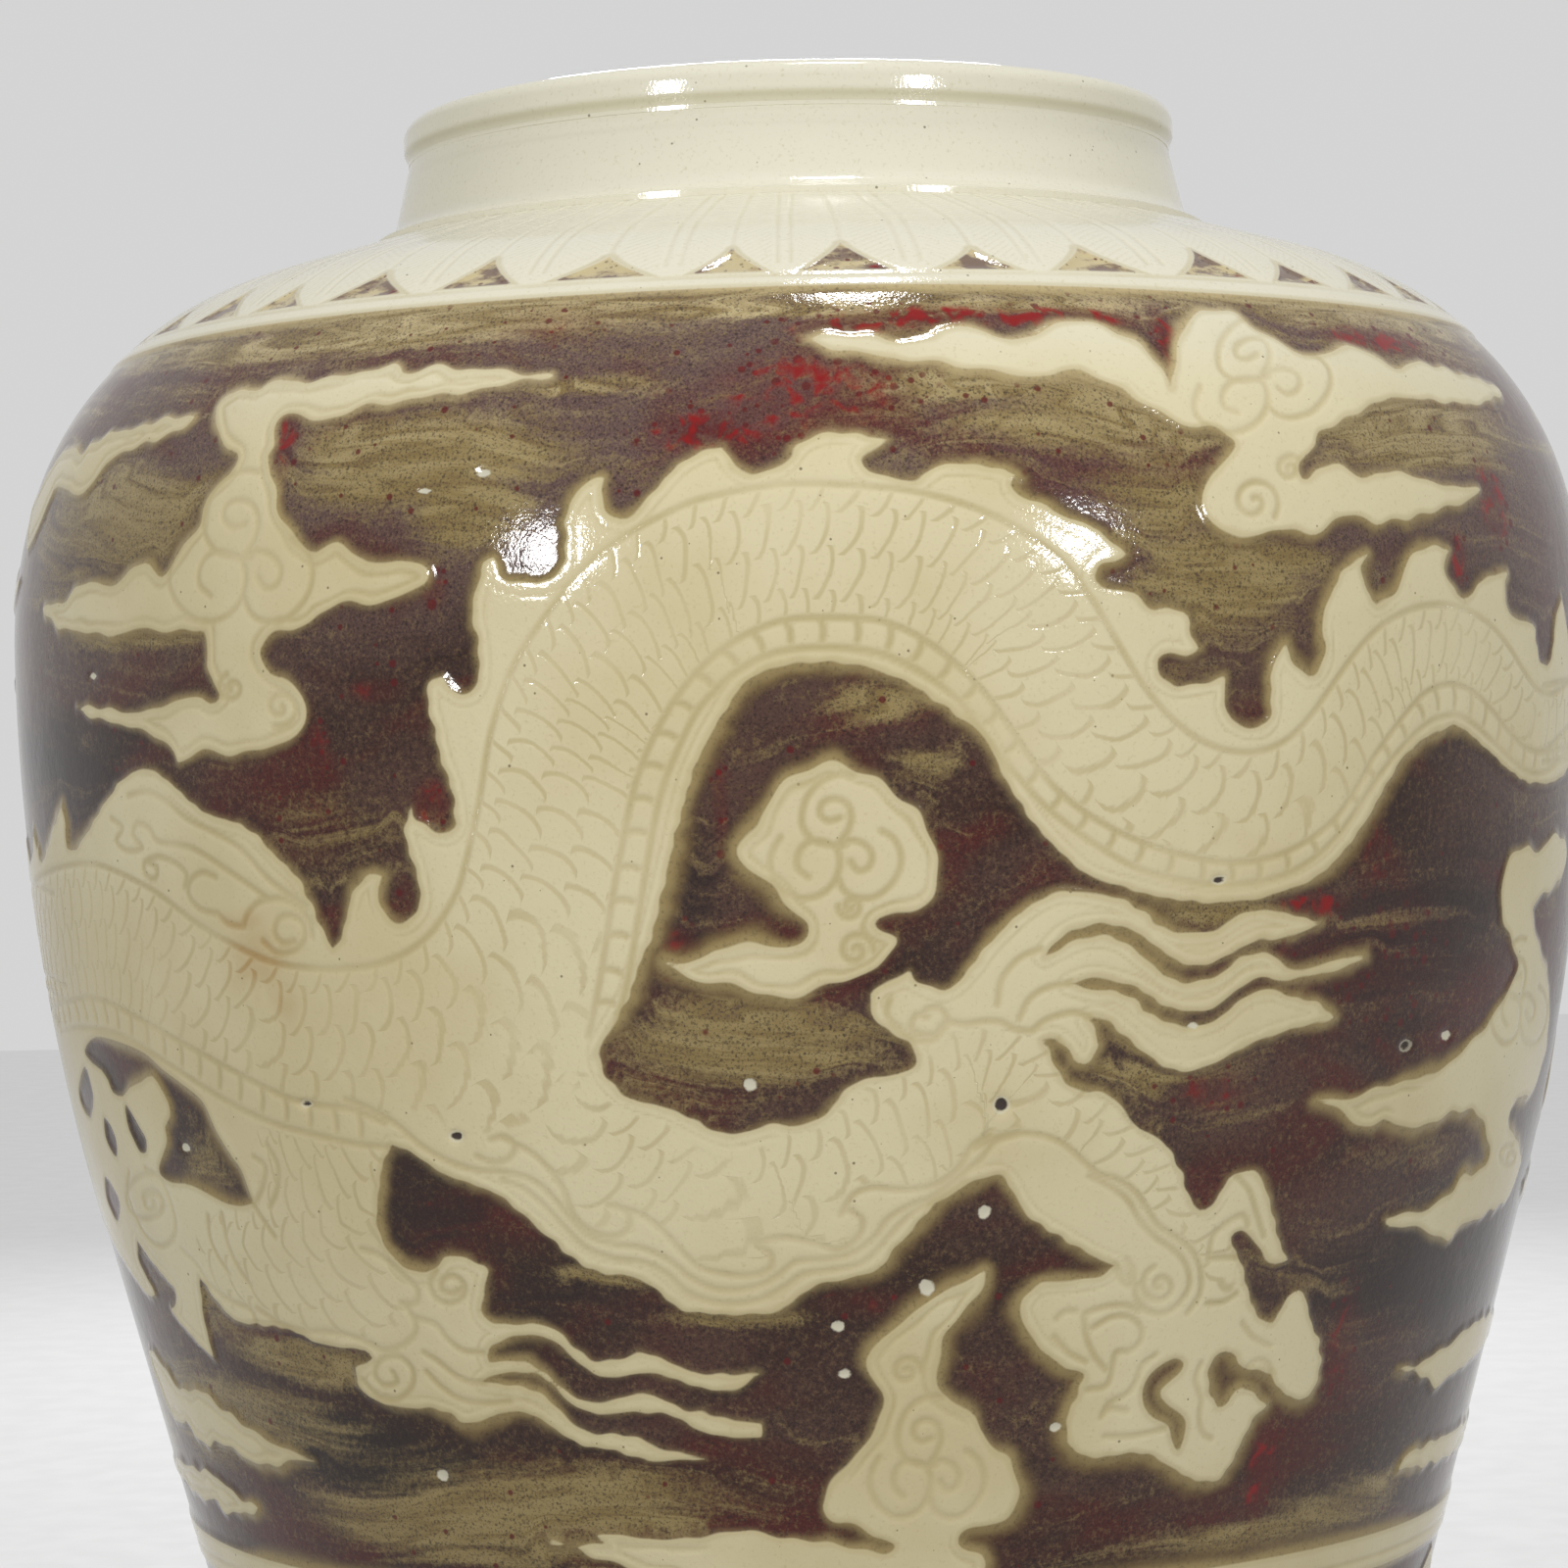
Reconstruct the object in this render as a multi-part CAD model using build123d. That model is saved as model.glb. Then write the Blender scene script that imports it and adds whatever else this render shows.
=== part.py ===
from build123d import *
import math
import os

# A large glazed storage jar, thrown in sections that are luted together with slip.
# Millimetres and degrees. Z is the jar's axis, and the foot stands on z = 0.

# Body
BELLY_RADIUS = 240.0
BELLY_HEIGHT = 388.0
WALL_THICKNESS = 9.0

# Body outline, outside: a straight taper, then three arcs that run into each other
TAPER_DEG = 14.9
LOWER_ARC_RADIUS = 655.0
SHOULDER_ARC_RADIUS = 148.5
SHOULDER_BREAK_DEG = 16.7
CROWN_ARC_RADIUS = 98.5
CROWN_SLOPE_DEG = 16.7

# Neck and lip
MOUTH_RADIUS = 109.0
NECK_HEIGHT = 25.7
NECK_TOP_WALL = 8.3
NECK_LEAN = 5.2
NECK_FLARE = 6.0
NECK_FLARE_EDGE = 0.6
NECK_FLARE_ROUND = 8.0
LIP_OVERHANG = 1.5
LIP_HEIGHT = 12.0
LIP_OUTER_ROUND = 5.0
LIP_INNER_ROUND = 4.0
LIP_UNDERCUT = 3.0
LIP_UNDERCUT_ROUND = 1.4

# Foot and base
FOOT_HEIGHT = 24.0
FOOT_SETBACK = 2.3
FOOT_TAPER = 3.0
FOOT_BEVEL = 2.5
FOOT_RING_WIDTH = 17.0
BASE_LEDGE_WIDTH = 7.0
BASE_LEDGE_HEIGHT = 10.0
BASE_THICKNESS = 13.0
BASE_EDGE_BEVEL = 2.0

# Luting joints, on the outside of the wall: one above the floor, one below the widest place
LOWER_JOINT_HEIGHT = 188.0
BELLY_JOINT_DROP = 25.0
JOINT_SLOPE_DEG = 22.0
SLIP_THICKNESS = 1.2
SLIP_BEAD_RADIUS = 3.5

# Turned lines, cut with the jar on the wheel: above the widest place, and above the floor
SHOULDER_LINE_RISES = (84.5, 91.0)
FOOT_LINE_HEIGHTS = (121.0, 127.5)
TURNED_LINE_RADIUS = 1.1
TURNED_LINE_DEPTH = 0.6

# How far a cutting solid runs past what it cuts
OVERRUN = 30.0

NECK_TOP_RADIUS = MOUTH_RADIUS + NECK_TOP_WALL
NECK_ROOT_RADIUS = NECK_TOP_RADIUS + NECK_LEAN
NECK_FOOT_RADIUS = NECK_ROOT_RADIUS + NECK_FLARE
LIP_RADIUS = NECK_TOP_RADIUS + LIP_OVERHANG
BELLY_JOINT_HEIGHT = BELLY_HEIGHT - BELLY_JOINT_DROP
SHOULDER_LINE_HEIGHTS = [BELLY_HEIGHT + rise for rise in SHOULDER_LINE_RISES]
TAPER = math.radians(TAPER_DEG)
SHOULDER_BREAK = math.radians(SHOULDER_BREAK_DEG)
CROWN_END = math.radians(90.0 - CROWN_SLOPE_DEG)
CROWN_SLOPE = math.radians(CROWN_SLOPE_DEG)
JOINT_SLOPE = math.radians(JOINT_SLOPE_DEG)


def at(radius, height):
    """A point of a cross-section, which lies in the XZ plane."""
    return Vector(radius, 0, height)


def on_arc(centre, radius, angle):
    return at(centre.X + radius * math.cos(angle), centre.Z + radius * math.sin(angle))


def arc(centre, radius, start, end):
    middle = on_arc(centre, radius, (start + end) / 2)
    return ThreePointArc(on_arc(centre, radius, start), middle, on_arc(centre, radius, end))


def turned(face):
    """The solid that a cross-section sweeps round the jar's axis."""
    return revolve(face, Axis.Z, 360)


def section(*edges):
    return Face(Wire(edges))


def outline(*points):
    return section(*Polyline(*points, close=True).edges())


# Centres of the body's three arcs. A surface inside the wall keeps these centres.
LOWER_CENTRE = at(BELLY_RADIUS - LOWER_ARC_RADIUS, BELLY_HEIGHT)
SHOULDER_CENTRE = at(BELLY_RADIUS - SHOULDER_ARC_RADIUS, BELLY_HEIGHT)
CROWN_CENTRE = on_arc(SHOULDER_CENTRE, SHOULDER_ARC_RADIUS - CROWN_ARC_RADIUS, SHOULDER_BREAK)


def taper_point(inset, height):
    """Where the straight taper, moved in by inset, passes a height."""
    top = on_arc(LOWER_CENTRE, LOWER_ARC_RADIUS - inset, -TAPER)
    return at(top.X - (top.Z - height) * math.tan(TAPER), height)


def crown_point(inset, radius):
    """Where the crown's slope to the neck, moved in by inset, passes a radius."""
    start = on_arc(CROWN_CENTRE, CROWN_ARC_RADIUS - inset, CROWN_END)
    return at(radius, start.Z + (start.X - radius) * math.tan(CROWN_SLOPE))


# The neck stands on the crown's slope, and the foot ring stands under the taper
NECK_TOP_HEIGHT = crown_point(0.0, NECK_ROOT_RADIUS).Z + NECK_HEIGHT
JAR_HEIGHT = NECK_TOP_HEIGHT + LIP_HEIGHT
FOOT_TOP_RADIUS = taper_point(0.0, FOOT_HEIGHT + SLIP_THICKNESS).X - FOOT_SETBACK
FOOT_RADIUS = FOOT_TOP_RADIUS - FOOT_TAPER


def wall_radius(height, inset=0.0):
    """The wall's radius at a height, on the surface that lies inset inside it."""
    if height > BELLY_HEIGHT:
        break_height = SHOULDER_CENTRE.Z + (SHOULDER_ARC_RADIUS - inset) * math.sin(SHOULDER_BREAK)
        if height > break_height:
            centre, radius = CROWN_CENTRE, CROWN_ARC_RADIUS - inset
        else:
            centre, radius = SHOULDER_CENTRE, SHOULDER_ARC_RADIUS - inset
    else:
        centre, radius = LOWER_CENTRE, LOWER_ARC_RADIUS - inset
        if height < on_arc(centre, radius, -TAPER).Z:
            return taper_point(inset, height).X
    return centre.X + math.sqrt(radius**2 - (height - centre.Z) ** 2)


def wall_edges(inset):
    """The wall's surface at an inset, from the foot's top up to the mouth."""
    lower, shoulder, crown = (
        r - inset for r in (LOWER_ARC_RADIUS, SHOULDER_ARC_RADIUS, CROWN_ARC_RADIUS)
    )
    return [
        Line(taper_point(inset, 0), on_arc(LOWER_CENTRE, lower, -TAPER)),
        arc(LOWER_CENTRE, lower, -TAPER, 0),
        arc(SHOULDER_CENTRE, shoulder, 0, SHOULDER_BREAK),
        arc(CROWN_CENTRE, crown, SHOULDER_BREAK, CROWN_END),
        Line(on_arc(CROWN_CENTRE, crown, CROWN_END), crown_point(inset, MOUTH_RADIUS)),
    ]


def whole_wall():
    """The body wall in one piece, before it is parted at its joints."""
    outside, inside = wall_edges(0.0), wall_edges(WALL_THICKNESS)
    mouth = Line(outside[-1] @ 1, inside[-1] @ 1)
    bottom = Line(outside[0] @ 0, inside[0] @ 0)
    return turned(section(*outside, mouth, *inside, bottom))


def joint_line(height, shift):
    """A luting joint's line, which rises towards the inside of the jar, moved up by shift."""
    edge = wall_radius(height)
    reach = (edge, edge - MOUTH_RADIUS / 2)
    outer = at(reach[0] + OVERRUN, height + shift - OVERRUN * math.tan(JOINT_SLOPE))
    inner = at(edge - reach[1], height + shift + reach[1] * math.tan(JOINT_SLOPE))
    return inner, outer


def band(low, high):
    """A ring-shaped cutter from the line low to the line high, each an inner and an outer point."""
    return turned(outline(low[0], low[1], high[1], high[0]))


def level_line(height):
    return at(MOUTH_RADIUS / 2, height), at(BELLY_RADIUS + OVERRUN, height)


def turned_lines(heights):
    """Shallow round-bottomed lines, cut in the wall as it turns."""
    out = TURNED_LINE_RADIUS - TURNED_LINE_DEPTH
    tools = []
    for height in heights:
        inset = -out
        centre = at(wall_radius(height, inset), height)
        tools.append(turned(Plane.XZ * Pos(centre.X, centre.Z) * Circle(TURNED_LINE_RADIUS)))
    return tools


def slip_joint(wall, height):
    """The slip that lutes two wall sections, with the bead that was smoothed along the inside."""
    layer = wall & band(joint_line(height, 0.0), joint_line(height, SLIP_THICKNESS))
    inner = wall_radius(height, WALL_THICKNESS)
    middle = height + WALL_THICKNESS * math.tan(JOINT_SLOPE) + SLIP_THICKNESS / 2
    bead = turned(Plane.XZ * Pos(inner, middle) * Circle(SLIP_BEAD_RADIUS)) - wall
    return layer + bead


def foot_ring():
    """The turned foot, with a ledge inside that the base slab is dropped onto."""
    inner = FOOT_RADIUS - FOOT_RING_WIDTH
    seat = inner + BASE_LEDGE_WIDTH
    return turned(
        outline(
            at(inner, 0),
            at(FOOT_RADIUS - FOOT_BEVEL, 0),
            at(FOOT_RADIUS, FOOT_BEVEL),
            at(FOOT_TOP_RADIUS, FOOT_HEIGHT),
            at(seat, FOOT_HEIGHT),
            at(seat, BASE_LEDGE_HEIGHT),
            at(inner, BASE_LEDGE_HEIGHT),
        )
    )


def base_slab():
    """The flat base, made apart and set on the foot's ledge from inside the jar."""
    edge = FOOT_RADIUS - FOOT_RING_WIDTH + BASE_LEDGE_WIDTH - SLIP_THICKNESS
    top = BASE_LEDGE_HEIGHT + BASE_THICKNESS
    return turned(
        outline(
            at(0, BASE_LEDGE_HEIGHT),
            at(edge, BASE_LEDGE_HEIGHT),
            at(edge, top - BASE_EDGE_BEVEL),
            at(edge - BASE_EDGE_BEVEL, top),
            at(0, top),
        )
    )


def base_slip():
    """The slip round the base slab's edge, up to the foot's top."""
    seat = FOOT_RADIUS - FOOT_RING_WIDTH + BASE_LEDGE_WIDTH
    edge = seat - SLIP_THICKNESS
    top = BASE_LEDGE_HEIGHT + BASE_THICKNESS
    return turned(
        outline(
            at(edge, BASE_LEDGE_HEIGHT),
            at(seat, BASE_LEDGE_HEIGHT),
            at(seat, FOOT_HEIGHT),
            at(edge - BASE_EDGE_BEVEL, top),
            at(edge, top - BASE_EDGE_BEVEL),
        )
    )


def foot_slip():
    """The slip between the foot's top and the lowest wall section."""
    outer = taper_point(0.0, FOOT_HEIGHT + SLIP_THICKNESS).X
    inner = taper_point(WALL_THICKNESS, FOOT_HEIGHT + SLIP_THICKNESS).X
    return turned(
        outline(
            at(inner, FOOT_HEIGHT),
            at(FOOT_TOP_RADIUS, FOOT_HEIGHT),
            at(outer, FOOT_HEIGHT + SLIP_THICKNESS),
            at(inner, FOOT_HEIGHT + SLIP_THICKNESS),
        )
    )


def neck_slip():
    """The slip between the crown of the shoulder and the neck."""
    return turned(
        outline(
            crown_point(0.0, MOUTH_RADIUS),
            crown_point(0.0, NECK_FOOT_RADIUS),
            crown_point(-SLIP_THICKNESS, NECK_FOOT_RADIUS),
            crown_point(-SLIP_THICKNESS, MOUTH_RADIUS),
        )
    )


def neck_collar():
    """The short neck, leaning in a little towards the lip and flared softly into the crown."""
    flare_top = -SLIP_THICKNESS - NECK_FLARE_EDGE
    corners = [
        at(MOUTH_RADIUS, NECK_TOP_HEIGHT - SLIP_THICKNESS),
        crown_point(-SLIP_THICKNESS, MOUTH_RADIUS),
        crown_point(-SLIP_THICKNESS, NECK_FOOT_RADIUS),
        crown_point(flare_top, NECK_FOOT_RADIUS),
        crown_point(flare_top, NECK_ROOT_RADIUS),
        at(NECK_TOP_RADIUS, NECK_TOP_HEIGHT - SLIP_THICKNESS),
    ]
    edge = FilletPolyline(*corners, radius=[0, 0, 0, 0, NECK_FLARE_ROUND, 0], close=True)
    return turned(section(*edge.edges()))


def lip_slip():
    """The slip under the lip's coil."""
    return turned(
        outline(
            at(MOUTH_RADIUS, NECK_TOP_HEIGHT - SLIP_THICKNESS),
            at(NECK_TOP_RADIUS, NECK_TOP_HEIGHT - SLIP_THICKNESS),
            at(NECK_TOP_RADIUS, NECK_TOP_HEIGHT),
            at(MOUTH_RADIUS, NECK_TOP_HEIGHT),
        )
    )


def lip_roll():
    """The rounded coil that thickens the mouth's edge."""
    corners = [
        at(MOUTH_RADIUS, NECK_TOP_HEIGHT),
        at(MOUTH_RADIUS, JAR_HEIGHT),
        at(LIP_RADIUS, JAR_HEIGHT),
        at(LIP_RADIUS, NECK_TOP_HEIGHT + LIP_UNDERCUT),
        at(NECK_TOP_RADIUS, NECK_TOP_HEIGHT),
    ]
    edge = FilletPolyline(
        *corners,
        radius=[0, LIP_INNER_ROUND, LIP_OUTER_ROUND, LIP_UNDERCUT_ROUND, 0],
        close=True,
    )
    return turned(section(*edge.edges()))


def body_sections(wall):
    """The wall parted into its lower, belly and shoulder sections."""
    floor = level_line(FOOT_HEIGHT + SLIP_THICKNESS)
    ceiling = level_line(JAR_HEIGHT)
    lower = wall & band(floor, joint_line(LOWER_JOINT_HEIGHT, 0.0))
    belly = wall & band(
        joint_line(LOWER_JOINT_HEIGHT, SLIP_THICKNESS), joint_line(BELLY_JOINT_HEIGHT, 0.0)
    )
    shoulder = wall & band(joint_line(BELLY_JOINT_HEIGHT, SLIP_THICKNESS), ceiling)
    for tool in turned_lines(FOOT_LINE_HEIGHTS):
        lower = lower - tool
    for tool in turned_lines(SHOULDER_LINE_HEIGHTS):
        shoulder = shoulder - tool
    return lower, belly, shoulder


def main():
    wall = whole_wall()
    lower, belly, shoulder = body_sections(wall)
    parts = {
        "foot_ring": foot_ring(),
        "base_slab": base_slab(),
        "base_slip": base_slip(),
        "foot_slip": foot_slip(),
        "lower_wall": lower,
        "lower_joint_slip": slip_joint(wall, LOWER_JOINT_HEIGHT),
        "belly_wall": belly,
        "belly_joint_slip": slip_joint(wall, BELLY_JOINT_HEIGHT),
        "shoulder_wall": shoulder,
        "neck_slip": neck_slip(),
        "neck_collar": neck_collar(),
        "lip_slip": lip_slip(),
        "lip_roll": lip_roll(),
    }
    os.makedirs("parts", exist_ok=True)
    for name, shape in parts.items():
        export_step(shape, f"parts/{name}.step")


main()
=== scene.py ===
import math

import bpy
import numpy as np
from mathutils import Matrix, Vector


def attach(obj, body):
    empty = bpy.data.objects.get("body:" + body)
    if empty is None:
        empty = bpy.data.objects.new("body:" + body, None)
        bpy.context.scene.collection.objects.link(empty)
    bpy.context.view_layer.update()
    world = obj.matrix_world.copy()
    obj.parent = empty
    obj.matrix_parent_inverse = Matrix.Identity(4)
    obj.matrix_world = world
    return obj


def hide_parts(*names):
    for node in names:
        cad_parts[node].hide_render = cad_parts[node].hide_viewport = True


# A large glazed storage jar with a carved dragon among clouds.
# Sizes are in millimetres until a mesh is made. The photographed side faces -Y.

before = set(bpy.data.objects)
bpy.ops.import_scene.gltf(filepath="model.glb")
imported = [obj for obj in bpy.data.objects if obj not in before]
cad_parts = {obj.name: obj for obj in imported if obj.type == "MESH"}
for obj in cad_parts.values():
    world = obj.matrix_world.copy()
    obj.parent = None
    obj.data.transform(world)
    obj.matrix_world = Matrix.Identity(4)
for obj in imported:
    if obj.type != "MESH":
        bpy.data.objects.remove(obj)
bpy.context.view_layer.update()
MM = 0.001

# The body's outline, outside: a straight taper, three arcs, and the crown's slope to the neck
BELLY_RADIUS = 240.0
BELLY_HEIGHT = 388.0
WALL = 9.0
TAPER = math.radians(14.9)
LOWER_ARC = 655.0
SHOULDER_ARC = 148.5
SHOULDER_BREAK = math.radians(16.7)
CROWN_ARC = 98.5
CROWN_SLOPE = math.radians(16.7)
MOUTH_RADIUS = 109.0
NECK_FOOT_RADIUS = 128.5

# Where the wall is luted, and the slip between its sections
FOOT_TOP = 24.0
LOWER_JOINT = 188.0
BELLY_JOINT = 363.0
SLIP = 1.2
JOINT_SLOPE = math.radians(22.0)

# The photograph's camera
CAMERA_X = -6.0
CAMERA_DISTANCE = 1300.0
CAMERA_HEIGHT = 343.3
CAMERA_ROLL = math.radians(1.36)
CAMERA_PIXELS = 4282.0
PHOTO_SIZE = 1600.0
SENSOR = 36.0

# Mesh fineness
COLUMNS = 1680
ROW_STEP = 0.9
PLAIN_COLUMNS = 384
INNER_STEP = 9

# How far from an edge or a line its distance is still measured
REACH = 12.0
LINE_REACH = 4.0
SPLINE_STEP = 1.2
TINY = 1e-9
LEAST_RADIUS = 120.0

# Depths from the camera at which the wall is looked for along a line of sight
DEPTH_STEPS = 320
BEFORE_WALL = 10.0
BEHIND_AXIS = 60.0


def lengths_along(points):
    """How far along a line each of its points lies."""
    return np.concatenate(([0.0], np.cumsum(np.hypot(*np.diff(points, axis=0).T))))


def outline_arc(centre, radius, start, end, step):
    """Points of an arc between two angles, about a step apart."""
    count = max(2, int(abs(end - start) * radius / step))
    angles = np.linspace(start, end, count + 1)
    return np.column_stack((centre[0] + radius * np.cos(angles), centre[1] + radius * np.sin(angles)))


def wall_outline(inset, step):
    """Points (radius, height) up the wall, on the surface that lies inset inside it."""
    lower = LOWER_ARC - inset
    shoulder = SHOULDER_ARC - inset
    crown = CROWN_ARC - inset
    lower_centre = (BELLY_RADIUS - LOWER_ARC, BELLY_HEIGHT)
    shoulder_centre = (BELLY_RADIUS - SHOULDER_ARC, BELLY_HEIGHT)
    reach = SHOULDER_ARC - CROWN_ARC
    crown_centre = (
        shoulder_centre[0] + reach * math.cos(SHOULDER_BREAK),
        shoulder_centre[1] + reach * math.sin(SHOULDER_BREAK),
    )
    bends = outline_arc(lower_centre, lower, -TAPER, 0.0, step)
    start = bends[0]
    count = max(2, int(start[1] / math.cos(TAPER) / step))
    heights = np.linspace(0.0, start[1], count + 1)
    taper = np.column_stack((start[0] - (start[1] - heights) * math.tan(TAPER), heights))
    high = outline_arc(shoulder_centre, shoulder, 0.0, SHOULDER_BREAK, step)
    top = outline_arc(crown_centre, crown, SHOULDER_BREAK, math.pi / 2 - CROWN_SLOPE, step)
    end = top[-1]
    count = max(2, int((end[0] - MOUTH_RADIUS) / math.cos(CROWN_SLOPE) / step))
    radii = np.linspace(end[0], MOUTH_RADIUS, count + 1)
    slope = np.column_stack((radii, end[1] + (end[0] - radii) * math.tan(CROWN_SLOPE)))
    return np.vstack((taper, bends[1:], high[1:], top[1:], slope[1:]))


OUTSIDE = wall_outline(0.0, 0.3)
OUTSIDE_RUN = lengths_along(OUTSIDE)
INSIDE = wall_outline(WALL, 1.0)


def run_at(height):
    """The distance up the outside of the wall at a height."""
    return np.interp(height, OUTSIDE[:, 1], OUTSIDE_RUN)


def outside_at(run):
    """Radius and height at a distance up the outside of the wall."""
    return np.interp(run, OUTSIDE_RUN, OUTSIDE[:, 0]), np.interp(run, OUTSIDE_RUN, OUTSIDE[:, 1])


def radius_at(height):
    """The outside radius of the wall at a height."""
    return np.interp(height, OUTSIDE[:, 1], OUTSIDE[:, 0])


def seen_on_wall(points):
    """Where pixels of the photograph fall on the wall: angle from the front, and run up the wall."""
    points = np.asarray(points, float)
    across = points[:, 0] - PHOTO_SIZE / 2
    down = points[:, 1] - PHOTO_SIZE / 2
    cosine, sine = math.cos(CAMERA_ROLL), math.sin(CAMERA_ROLL)
    right = (across * cosine - down * sine) / CAMERA_PIXELS
    drop = (across * sine + down * cosine) / CAMERA_PIXELS
    nearest = CAMERA_DISTANCE - BELLY_RADIUS - BEFORE_WALL
    depths = np.linspace(nearest, CAMERA_DISTANCE + BEHIND_AXIS, DEPTH_STEPS)[:, None]
    x = CAMERA_X + depths * right
    y = depths - CAMERA_DISTANCE
    z = CAMERA_HEIGHT - depths * drop
    gap = np.hypot(x, y) - radius_at(z)
    inside = gap <= 0
    first = np.where(inside.any(axis=0), inside.argmax(axis=0), gap.argmin(axis=0))
    columns = np.arange(len(points))
    before = np.maximum(first - 1, 0)
    low, high = gap[before, columns], gap[first, columns]
    share = np.where((low > 0) & (high <= 0), low / np.maximum(low - high, TINY), 1.0)
    depth = depths[before, 0] + share * (depths[first, 0] - depths[before, 0])
    x = CAMERA_X + depth * right
    y = depth - CAMERA_DISTANCE
    z = CAMERA_HEIGHT - depth * drop
    return np.column_stack((np.arctan2(x, -y), run_at(z)))


def curve_points(points, closed, step):
    """A smooth curve through points. A point written twice is a sharp corner."""
    points = np.asarray(points, float)
    count = len(points)
    out = []
    last = count if closed else count - 1
    for i in range(last):
        a, b = points[i], points[(i + 1) % count]
        length = np.hypot(*(b - a))
        if length < TINY:
            continue
        before = points[i - 1] if closed or i > 0 else a
        after = points[(i + 2) % count] if closed or i + 2 < count else b
        start = (b - before) / 2 if np.hypot(*(a - before)) > TINY else (b - a)
        end = (after - a) / 2 if np.hypot(*(after - b)) > TINY else (b - a)
        start = start * min(1.0, length / max(np.hypot(*start), TINY))
        end = end * min(1.0, length / max(np.hypot(*end), TINY))
        t = np.linspace(0, 1, max(2, int(length / step)) + 1)[:-1, None]
        out.append(
            (2 * t**3 - 3 * t**2 + 1) * a
            + (t**3 - 2 * t**2 + t) * start
            + (3 * t**2 - 2 * t**3) * b
            + (t**3 - t**2) * end
        )
    if not closed:
        out.append(points[-1:])
    return np.vstack(out)


PIXEL_STEP = SPLINE_STEP * CAMERA_PIXELS / (CAMERA_DISTANCE - BELLY_RADIUS)


def from_photo(points, closed=True):
    """A smooth curve on the wall through points given as pixels of the photograph."""
    return seen_on_wall(curve_points(points, closed, PIXEL_STEP))


def from_wall(points):
    """A smooth closed curve through points given as degrees from the front and height."""
    points = np.asarray(points, float)
    flat = np.column_stack((np.radians(points[:, 0]) * BELLY_RADIUS, run_at(points[:, 1])))
    smooth = curve_points(flat, True, SPLINE_STEP)
    return np.column_stack((smooth[:, 0] / BELLY_RADIUS, smooth[:, 1]))


def round_angles(columns):
    """Evenly spaced angles round the jar, from behind through the front to behind."""
    return np.arange(columns) * 2 * math.pi / columns - math.pi


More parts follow.
